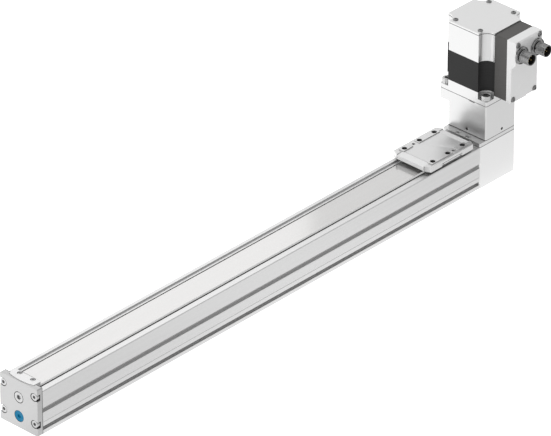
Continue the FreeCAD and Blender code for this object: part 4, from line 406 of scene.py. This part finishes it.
# %% [markdown]
# ### Painted shade lines at the joints
# Where two castings meet, and in the recesses of the cap, hardly any light gets in. The gap itself is far too
# thin to render, so the skin is cut on both sides of the joint, and the narrow band between takes a nearly
# black painted shade. The joints' places come from the boxes of the pieces that meet, so nothing is measured
# twice.

# %% Helpers that break edges and draw the dark lines
LINE = 0.55 * MM        # half the width of a painted shade line
IN_LINE = 1.05 * LINE   # a face of the band reaches no further from the joint than this
ENDWISE = 0.95          # a face that looks along the joint's axis more than this stays light
BEVEL_STEPS, BEVEL_FROM = 2, math.radians(40)


def rounded(node, width, joints=()):
    """A copy of a CAD node, in its place, with broken edges and painted shade lines at its joints.

    A joint is an axis with a neighbour and the side of the neighbour's box where both meet.
    """
    skin = skin_of(node)
    levels = [(axis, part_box(neighbour)[side][axis]) for axis, neighbour, side in joints]
    for axis, level in levels:
        across = Vector([float(k == axis) for k in range(3)])
        for shift in (-LINE, LINE):
            bmesh.ops.bisect_plane(skin, geom=skin.verts[:] + skin.edges[:] + skin.faces[:],
                                   plane_co=across * (level + shift), plane_no=across)
    thing = piece_from(skin, node + "_rounded", finish_of(node))
    shade(thing)
    bevel = thing.modifiers.new("broken edges", "BEVEL")
    bevel.width = width * MM
    bevel.segments = BEVEL_STEPS
    bevel.limit_method = "ANGLE"
    bevel.angle_limit = BEVEL_FROM
    bevel.harden_normals = True
    apply_modifiers(thing)
    # The second finish is the painted shade of the joint lines and recesses.
    thing.data.materials.append(FINISH["painted_gap_shade"])
    for axis, level in levels:
        for face in thing.data.polygons:
            reach = max(abs(thing.data.vertices[k].co[axis] - level) for k in face.vertices)
            if reach < IN_LINE and abs(face.normal[axis]) < ENDWISE:
                face.material_index = 1
    stands_for(thing, node)
    return thing


def paint_recess_shade(thing):
    """Gives the recesses in a piece's -X face a nearly black painted shade, as hardly any light gets in
    there.
    """
    inset, deep = 1 * MM, 0.5 * MM
    low = [min(v.co[k] for v in thing.data.vertices) for k in range(3)]
    high = [max(v.co[k] for v in thing.data.vertices) for k in range(3)]
    for face in thing.data.polygons:
        inside = all(low[k] + inset < face.center[k] < high[k] - inset for k in (1, 2))
        if inside and face.center.x > low[0] + deep:
            face.material_index = 1


# %% Break the edges of the visible housings
EDGES = {
    "end_cap": 0.3, "strip_clamp": 0.3, "drive_housing": 0.35, "top_plate": 0.25, "coupling_housing": 0.4,
    "motor_flange": 0.4, "motor_rear_housing": 0.4, "motor_cover": 0.4, "electronics_frame": 0.4,
    "slide_body": 0.25, "strip_guides": 0.25, "lube_covers": 0.3,
}
JOINTS = {   # the axis across the joint, the piece whose box ends there, and the box's side: 0 low, 1 high
    "motor_rear_housing": [(2, "motor_rear_housing", 1)], "drive_housing": [(2, "drive_housing", 1)],
    "coupling_housing": [(2, "coupling_housing", 0), (2, "coupling_housing", 1)],
    "electronics_frame": [(1, "motor_rear_housing", 0)], "end_cap": [(0, "profile", 0)],
    "lube_covers": [(2, "lube_covers", 0), (2, "lube_covers", 1)], "slide_body": [(2, "strip_guides", 0)],
}
for node, width in EDGES.items():
    thing = rounded(node, width, JOINTS.get(node, ()))
    if node == "end_cap":
        paint_recess_shade(thing)
    dark = sum(face.material_index for face in thing.data.polygons)
    print(node, len(thing.data.polygons), "faces,", dark, "of them dark")

# %% Break the edges of the strip
STRIP_EDGE, SIDEWAYS = 0.1, 0.9
strip = rounded("cover_strip", STRIP_EDGE)
# The turned-down edges take the painted glow finish.
strip.data.materials[1] = FINISH["strip_edge_painted_glow"]
for face in strip.data.polygons:
    face.material_index = int(abs(face.normal.y) > SIDEWAYS)
print("faces on the strip's turned-down edges:", sum(face.material_index for face in strip.data.polygons))

# %% [markdown]
# ### The cover with a soft step
# The electronics cover is moulded: its upper half stands out for the plugs, and the step between the halves
# is a soft shoulder. The same copy is used, but each edge gets its own bevel weight, so the two long edges
# of the step become wide soft curves while the outline stays crisp.

# %% Round the cover
COVER_EDGE, STEP_EDGE, COVER_STEPS = 0.9, 3.0, 4
STEP_ABOVE, STEP_BELOW, STEP_BACK = 25 * MM, 15 * MM, 4.5 * MM   # the step lies this far inside the box
STEP_WIDE, CORNER = 0.8, math.radians(20)
BACK_EDGE, BACK_WEIGHT = 1 * MM, 0.1
skin = skin_of("electronics_cover")
weights = skin.edges.layers.float.new("bevel_weight_edge")
low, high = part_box("electronics_cover")
soft = 0
for edge in skin.edges:
    if len(edge.link_faces) == 2 and edge.calc_face_angle(0) > CORNER:
        first, second = (v.co for v in edge.verts)
        across = abs(first.x - second.x) > STEP_WIDE * (high[0] - low[0])
        between = low[2] + STEP_ABOVE < first.z < high[2] - STEP_BELOW
        on_step = across and between and first.y < high[1] - STEP_BACK
        outside = all(v.co.y < high[1] - BACK_EDGE for v in edge.verts)
        edge[weights] = 1.0 if on_step else COVER_EDGE / STEP_EDGE if outside else BACK_WEIGHT
        soft += on_step
cover = piece_from(skin, "cover_rounded", finish_of("electronics_cover"))
bevel = cover.modifiers.new("moulded edges", "BEVEL")
bevel.width = STEP_EDGE * MM
bevel.segments = COVER_STEPS
bevel.limit_method = "WEIGHT"
bevel.harden_normals = True
shade(cover)
apply_modifiers(cover)
stands_for(cover, "electronics_cover")
print("soft step edges:", soft, "faces:", len(cover.data.polygons))

# %% [markdown]
# ## Screws
# Every screw is a turned body: a line of rings from the tip to the head, where a ring may also be a hexagon,
# a star, a cross or knurled, so the same few lines make the shank, the head and the socket. It could be done
# with boolean cuts, but rings keep the mesh clean. Each screw is drawn once and then set on its spots.

# %% A turned body with shaped rings
KNURLS, KNURL_DEEP = 24, 0.05
LOBES, LOBE_DEEP = 6, 0.13
CROSS_CORE = 0.3


def ring_radius(shape, radius, angle):
    """How far a ring's point lies from the axis. A hexagon's radius is to its corners."""
    if shape == "hex":
        return radius * math.cos(math.pi / 6) / math.cos(angle % (math.pi / 3) - math.pi / 6)
    if shape == "star":
        return radius * (1 - LOBE_DEEP + LOBE_DEEP * math.cos(LOBES * angle))
    if shape == "cross":
        return radius * max(CROSS_CORE, abs(math.cos(2 * angle)) ** 3)
    if shape == "knurl":
        return radius - KNURL_DEEP * (1 + math.cos(KNURLS * angle)) / 2
    return radius


def turned(rings, steps=48, closed=False):
    """Skins rings of (radius, height, shape) in millimetres. A closed one is a tube: its ends meet."""
    skin = bmesh.new()
    rows = []
    for radius, height, *shape in rings:
        if radius == 0:
            rows.append([skin.verts.new((0, 0, height * MM))] * steps)
            continue
        row = []
        for i in range(steps):
            angle = 2 * math.pi * i / steps
            reach = ring_radius(shape[0] if shape else "round", radius, angle) * MM
            row.append(skin.verts.new((reach * math.cos(angle), reach * math.sin(angle), height * MM)))
        rows.append(row)
    pairs = list(zip(rows, rows[1:])) + ([(rows[-1], rows[0])] if closed else [])
    for lower, upper in pairs:
        for i in range(steps):
            corners = [lower[i], lower[i - 1], upper[i - 1], upper[i]]
            skin.faces.new([v for k, v in enumerate(corners) if v not in corners[:k]])
    bmesh.ops.recalc_face_normals(skin, faces=skin.faces)
    return skin


# %% The rings of a screw
LEAD, PITCH, GROOVE = 0.3, 0.7, 0.25      # the tapered tip and the thread, in millimetres
THREADED, RUN_OUT = 0.75, 0.4             # the share of the shank with a thread, less the run-out
DOME_FOOT, DOME_ANGLES = 0.3, (0.35, 0.7, 1.05, 1.4)
SOCKET_RIM, SOCKET_FLOOR, SOCKET_POINT = 0.12, 0.4, 0.3


def screw_rings(head, tall, shank, long, drive="hex", dome=False, key=0.5):
    """A screw with the underside of its head at height 0, in millimetres.

    Its rings go from the tip up the shank and the thread, round the head and down into the socket. The
    letters s, r and k are the radii of the shank, the head and the socket.
    """
    s, r, k = shank / 2, head / 2, head / 2 * key
    lead = min(LEAD, long / 3)
    rings = [(0, -long), (s - lead, -long), (s, lead - long)]
    for turn in range(int((THREADED * long - RUN_OUT) / PITCH)):
        height = LEAD - long + PITCH * turn
        rings += [(s - GROOVE, height + PITCH / 2), (s, height + PITCH)]
    rings += [(s, 0)]
    if dome:
        foot = DOME_FOOT * tall
        rings += [(r - 0.05, 0), (r, 0.05), (r, foot)]
        rings += [(k + (r - k) * math.cos(a), foot + (1 - DOME_FOOT) * tall * math.sin(a))
                  for a in DOME_ANGLES]
    else:
        rings += [(r - 0.15, 0), (r, 0.15, "knurl"), (r, tall - 0.35, "knurl"), (r - 0.1, tall - 0.1),
                  (r - 0.3, tall)]
    rings += [(k + SOCKET_RIM, tall), (k, tall - SOCKET_RIM, drive), (k, SOCKET_FLOOR * tall, drive),
              (0, SOCKET_POINT * tall)]
    return rings


print("rings of one cap screw:", len(screw_rings(7, 3.4, 3.2, 14)))

# %% [markdown]
# ### Setting screws on their spots
# Geometry Nodes put the drawn screw on every spot: each spot is a point that also knows which way its screw
# faces. A random turn about the screw's own axis, from a fixed seed, keeps the sockets from lining up, as
# they never do on a real machine. Realize Instances at the end makes it one plain mesh. The threads of the
# plugs are set in the same way later, so a helper adds what both trees share.


# %% What both trees share
def tree_on_spots(title, inputs):
    """A tree that sets something on spots. What it sets, and how that is turned, is linked afterwards."""
    tree = bpy.data.node_groups.new(title, "GeometryNodeTree")
    for name, kind in (("Geometry", "Geometry"), *inputs, ("Finish", "Material")):
        tree.interface.new_socket(name, in_out="INPUT", socket_type="NodeSocket" + kind)
    tree.interface.new_socket("Geometry", in_out="OUTPUT", socket_type="NodeSocketGeometry")
    source = tree.nodes.new("NodeGroupInput")
    facing = tree.nodes.new("GeometryNodeInputNamedAttribute")
    facing.data_type = "FLOAT_VECTOR"
    facing.inputs["Name"].default_value = "facing"
    align = tree.nodes.new("FunctionNodeAlignRotationToVector")
    instance = tree.nodes.new("GeometryNodeInstanceOnPoints")
    realize = tree.nodes.new("GeometryNodeRealizeInstances")
    paint = tree.nodes.new("GeometryNodeSetMaterial")
    sink = tree.nodes.new("NodeGroupOutput")
    for start, end in (
            (source.outputs["Geometry"], instance.inputs["Points"]),
            (facing.outputs["Attribute"], align.inputs["Vector"]),
            (instance.outputs["Instances"], realize.inputs["Geometry"]),
            (realize.outputs["Geometry"], paint.inputs["Geometry"]),
            (source.outputs["Finish"], paint.inputs["Material"]),
            (paint.outputs["Geometry"], sink.inputs["Geometry"])):
        tree.links.new(start, end)
    return tree, source, align, instance


# %% A node tree that sets a piece on spots
LARGEST, FLOAT_RESULT = 3, 1   # the random node has sockets for each kind of value: these are for a float
setter, source, align, instance = tree_on_spots("set on spots", (("Piece", "Object"), ("Seed", "Int")))
drawn = setter.nodes.new("GeometryNodeObjectInfo")
chance = setter.nodes.new("FunctionNodeRandomValue")
chance.data_type = "FLOAT"
chance.inputs[LARGEST].default_value = 2 * math.pi
spin = setter.nodes.new("FunctionNodeAxisAngleToRotation")
turn = setter.nodes.new("FunctionNodeRotateRotation")
turn.rotation_space = "LOCAL"
for start, end in (
        (source.outputs["Piece"], drawn.inputs["Object"]),
        (drawn.outputs["Geometry"], instance.inputs["Instance"]),
        (source.outputs["Seed"], chance.inputs["Seed"]),
        (chance.outputs[FLOAT_RESULT], spin.inputs["Angle"]),
        (align.outputs["Rotation"], turn.inputs["Rotation"]),
        (spin.outputs["Rotation"], turn.inputs["Rotate By"]),
        (turn.outputs["Rotation"], instance.inputs["Rotation"])):
    setter.links.new(start, end)
print("nodes in the tree:", len(setter.nodes))

# %% Run a tree and keep its result
SEED, FINE_ANGLE = 4, 30


def spots_mesh(name, spots):
    """Points with a facing for each, from a list of (place, facing) in metres."""
    mesh = bpy.data.meshes.new(name)
    mesh.from_pydata([place for place, direction in spots], [], [])
    field = mesh.attributes.new("facing", "FLOAT_VECTOR", "POINT")
    for i, (place, direction) in enumerate(spots):
        field.data[i].vector = direction
    return mesh


def run_tree(tree, name, spots, **inputs):
    """Evaluates a tree on spots and gives the plain mesh that it makes."""
    carrier = bpy.data.objects.new(name, spots_mesh(name, spots))
    bpy.context.scene.collection.objects.link(carrier)
    modifier = carrier.modifiers.new("tree", "NODES")
    modifier.node_group = tree
    for title, value in inputs.items():
        modifier[tree.interface.items_tree[title].identifier] = value
    bpy.context.view_layer.update()
    made = bpy.data.meshes.new_from_object(carrier.evaluated_get(bpy.context.evaluated_depsgraph_get()))
    carrier.modifiers.clear()
    bpy.data.objects.remove(carrier)
    return made


def set_on_spots(name, skin, spots, material):
    """Draws a piece once and sets it on every spot."""
    master = piece_from(skin, name + "_drawn", material)
    shade(master, FINE_ANGLE)
    made = run_tree(setter, name, spots, Piece=master, Seed=SEED, Finish=material)
    bpy.data.objects.remove(master)
    return made


def join(name, meshes, material):
    """One object from several plain meshes."""
    skin = bmesh.new()
    for mesh in meshes:
        skin.from_mesh(mesh)
    thing = piece_from(skin, name, material)
    shade(thing, FINE_ANGLE)
    return thing


# %% [markdown]
# ### Where the screws are
# The frame already holds every screw as a plain solid, so its own box says where the head is, how long the
# shank is, and where it sits. Walking along the edges of a node's skin finds its separate solids.


# %% Find the solids of a node
def solids_of(node):
    """The lowest and highest corner of each separate solid of a node, in metres."""
    skin = skin_of(node)
    skin.verts.index_update()
    seen, boxes = set(), []
    for start in skin.verts:
        if start.index in seen:
            continue
        island, open_ends = [], [start]
        seen.add(start.index)
        while open_ends:
            point = open_ends.pop()
            island.append(point.co.copy())
            for edge in point.link_edges:
                other = edge.other_vert(point)
                if other.index not in seen:
                    seen.add(other.index)
                    open_ends.append(other)
        boxes.append(tuple(Vector([pick(p[i] for p in island) for i in range(3)]) for pick in (min, max)))
    skin.free()
    return boxes


print("strip screws:", len(solids_of("strip_screws")))

# %% Set the screws
AXES = {"+X": (1, 0, 0), "-X": (-1, 0, 0), "+Z": (0, 0, 1), "-Y": (0, -1, 0), "+Y": (0, 1, 0)}
# A screw's row: where its head faces ("out" is away from the axis's middle), the head's width and height, the
# shank's width, the socket's shape, whether the head is domed, and the socket's share of the head.
SCREWS = {
    "end_cap_screws": ("-X", 7, 3.4, 3.2, "hex", False, 0.5),
    "tension_screw": ("-X", 10, 4, 6, "hex", False, 0.5),
    "strip_screws": ("+Z", 4.2, 1.8, 2.3, "star", True, 0.5),
    "drive_housing_screws": ("+X", 5.8, 3.4, 3.2, "hex", False, 0.5),
    "motor_screws": ("+Z", 8.5, 5, 4.9, "hex", False, 0.5),
    "motor_cover_screws": ("+Z", 5, 0.9, 2.4, "star", True, 0.45),
    "electronics_screws": ("-Y", 5.2, 1.8, 2.3, "cross", True, 0.6),
    "coupling_housing_screws": ("+Z", 5.5, 3, 2.9, "hex", False, 0.5),
    "saddle_screws": ("out", 4.4, 1.6, 2.1, "hex", True, 0.5),
    "lube_cover_screws": ("out", 1.5, 0.7, 1.4, "cross", True, 0.6),
}
for node, (outlook, head, tall, shank, drive, dome, key) in SCREWS.items():
    groups = {}
    for low, high in solids_of(node):
        side = "+Y" if (low + high).y > 0 else "-Y"
        axis = Vector(AXES[side if outlook == "out" else outlook])
        along = max(range(3), key=lambda i: abs(axis[i]))
        seat = (low + high) / 2
        seat[along] = (high if sum(axis) > 0 else low)[along] - axis[along] * tall * MM
        long = round((high - low)[along] / MM - tall, 1)
        groups.setdefault(long, []).append((seat, axis))
    meshes = [set_on_spots(node, turned(screw_rings(head, tall, shank, long, drive, dome, key)), spots,
                           finish_of(node)) for long, spots in groups.items()]
    thing = join(node + "_fine", meshes, finish_of(node))
    stands_for(thing, node)
    print(node, {long: len(spots) for long, spots in groups.items()}, len(thing.data.polygons), "faces")

# %% [markdown]
# ## Round plugs
# The two plugs are nickel plated shells with a screw thread outside and a dark insert with gold pins inside.
# A shell is a tube, so it is turned from one closed line of rings. The thread is a real helix: a spiral curve
# that carries a small square on its corner. The spiral keeps its turns even and its start and end clean.

# %% A node tree that winds a thread
POINTS_PER_TURN, SECTION_CORNERS = 28, 4
winder, source, align, instance = tree_on_spots(
    "wind a thread", [(name, "Float") for name in ("Radius", "Pitch", "Turns", "Ridge")])
length = winder.nodes.new("ShaderNodeMath")
length.operation = "MULTIPLY"
spiral = winder.nodes.new("GeometryNodeCurveSpiral")
spiral.inputs["Resolution"].default_value = POINTS_PER_TURN
upright = winder.nodes.new("GeometryNodeSetCurveNormal")
upright.mode = "Z_UP"
section = winder.nodes.new("GeometryNodeCurvePrimitiveCircle")
section.inputs["Resolution"].default_value = SECTION_CORNERS
sweep = winder.nodes.new("GeometryNodeCurveToMesh")
sweep.inputs["Fill Caps"].default_value = True
for start, end in (
        (source.outputs["Pitch"], length.inputs[0]),
        (source.outputs["Turns"], length.inputs[1]),
        (length.outputs["Value"], spiral.inputs["Height"]),
        (source.outputs["Turns"], spiral.inputs["Rotations"]),
        (source.outputs["Radius"], spiral.inputs["Start Radius"]),
        (source.outputs["Radius"], spiral.inputs["End Radius"]),
        (spiral.outputs["Curve"], upright.inputs["Curve"]),
        (upright.outputs["Curve"], sweep.inputs["Curve"]),
        (source.outputs["Ridge"], section.inputs["Radius"]),
        (section.outputs["Curve"], sweep.inputs["Profile Curve"]),
        (sweep.outputs["Mesh"], instance.inputs["Instance"]),
        (align.outputs["Rotation"], instance.inputs["Rotation"])):
    winder.links.new(start, end)
print("nodes in the tree:", len(winder.nodes))


# %% Turn the shells and wind their threads
def middle(low, high, y):
    """The middle of a box, seen along Y, at a given y."""
    return Vector(((low[0] + high[0]) / 2, y, (low[2] + high[2]) / 2))


PLUG_LONG, PLUG_BACK = 13, 2.8
SHELL = [
    (3.6, -PLUG_BACK), (4.9, -PLUG_BACK), (4.9, 0), (8.1, 0), (8.5, 0.4), (8.5, 1.6), (8.15, 2), (7.7, 2),
    (7.45, 1.7), (7.3, 1.1), (6.3, 1.1), (6, 1.3), (6, 3), (5.65, 3.5), (5.65, 11.6), (5.95, 11.9),
    (5.95, 12.6), (5.6, 13), (5.2, 13), (5, 12.8), (5, 5), (3.6, 5),
]
SHELL_STEPS, THREAD_START = 64, 3.6
PLUG_THREAD = {"Radius": 5.62 * MM, "Pitch": 1.0 * MM, "Turns": 7.8, "Ridge": 0.33 * MM}
TOWARDS = Vector((0, -1, 0))
for node in ("power_connector", "signal_connector"):
    low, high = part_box(node)
    face = middle(low, high, low[1] + PLUG_LONG * MM)
    shell = set_on_spots(node, turned(SHELL, SHELL_STEPS, closed=True), [(face, TOWARDS)], finish_of(node))
    thread = run_tree(winder, node + "_thread", [(face + TOWARDS * THREAD_START * MM, TOWARDS)],
                      Finish=finish_of(node), **PLUG_THREAD)
    thing = join(node + "_fine", [shell, thread], finish_of(node))
    stands_for(thing, node)
    print(node, len(thing.data.polygons), "faces")

# %% [markdown]
# ### Inserts and pins
# The insert is dark plastic and lines the shell's mouth, so the mouth reads as black from outside. The pins
# stand in it with rounded tips. Both are turned and set on their spots as the screws are.


# %% Fill the mouths
def set_piece(name, node, skin, spots):
    """A turned piece, set on its spots, that stands for a node."""
    thing = join(name, [set_on_spots(node, skin, spots, finish_of(node))], finish_of(node))
    stands_for(thing, node)
    print(name, len(spots), "set,", len(thing.data.polygons), "faces")


LINER = [
    (0, -PLUG_BACK), (3.55, -PLUG_BACK), (3.55, 5.02), (4.95, 5.02), (4.95, 12.2), (4.75, 12.4), (4.6, 12.2),
    (4.55, 6), (4.4, 5.8), (0.4, 5.8), (0, 5.8),
]
PIN = [(0, 0), (0.5, 0), (0.5, 4.9), (0.42, 5.25), (0.25, 5.45), (0, 5.5)]
PIN_STEPS = 16
spots = [(middle(low, high, high.y - PLUG_BACK * MM), TOWARDS)
         for low, high in solids_of("connector_inserts")]
set_piece("inserts_fine", "connector_inserts", turned(LINER), spots)
spots = [(middle(low, high, high.y), TOWARDS) for low, high in solids_of("connector_pins")]
set_piece("pins_fine", "connector_pins", turned(PIN, PIN_STEPS), spots)

# %% [markdown]
# ## Threads in the slide
# The slide has six tapped holes for the customer's tooling. The CAD holes are plain, so the same winding tree
# lays a thread on their walls. Its ridge is wide enough to hide the wall, and it takes the nearly black
# painted shade, which stands for the shade deep inside the holes. It is a piece of its own that rides on the
# slide.

# %% Wind the slide's threads
HOLE_STEP, HOLE_SIDE, HOLE_RIM = 20, 17, 0.5
HOLE_THREAD = {"Radius": 2.5 * MM, "Pitch": 0.8 * MM, "Turns": 7.0, "Ridge": 0.42 * MM}
DOWN = Vector((0, 0, -1))
low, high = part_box("slide_body")
slide_middle = (low[0] + high[0]) / 2
spots = [(Vector((slide_middle + HOLE_STEP * k * MM, HOLE_SIDE * side * MM, high[2] - HOLE_RIM * MM)), DOWN)
         for side in (-1, 1) for k in (-1, 0, 1)]
# The threads take the painted shade of the deep holes.
painted_thread_shade = FINISH["painted_gap_shade"]
wound = run_tree(winder, "slide_threads", spots, Finish=painted_thread_shade, **HOLE_THREAD)
threads = join("slide_threads", [wound], painted_thread_shade)
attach(threads, BODY_OF["slide_body"])
print("threads:", len(spots), "with", len(threads.data.polygons), "faces")

# %% [markdown]
# ## The blue port plug
# A small plastic plug closes the air port in the end cap. Its face is slightly dished, with a rounded rim and
# a shallow six-sided recess for a key. It is round but for the recess, so it is turned as a screw is.

# %% Turn the plug
PLUG_HEAD = 3.5
PLUG = [
    (0, -2), (2.45, -2), (2.6, -1.8), (2.6, 0), (4.9, 0), (5.3, 0.4), (5.4, 1.2), (5.4, 2.9), (5.2, 3.3),
    (4.8, PLUG_HEAD), (4.4, 3.42), (2.3, 3.3), (2.1, 3.2, "hex"), (2.0, 2.4, "hex"), (0, 2.3),
]
OUTWARDS = Vector((-1, 0, 0))
low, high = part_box("port_plug")
seat = Vector((low[0] + PLUG_HEAD * MM, 0, (low[2] + high[2]) / 2))
set_piece("port_plug_fine", "port_plug", turned(PLUG), [(seat, OUTWARDS)])
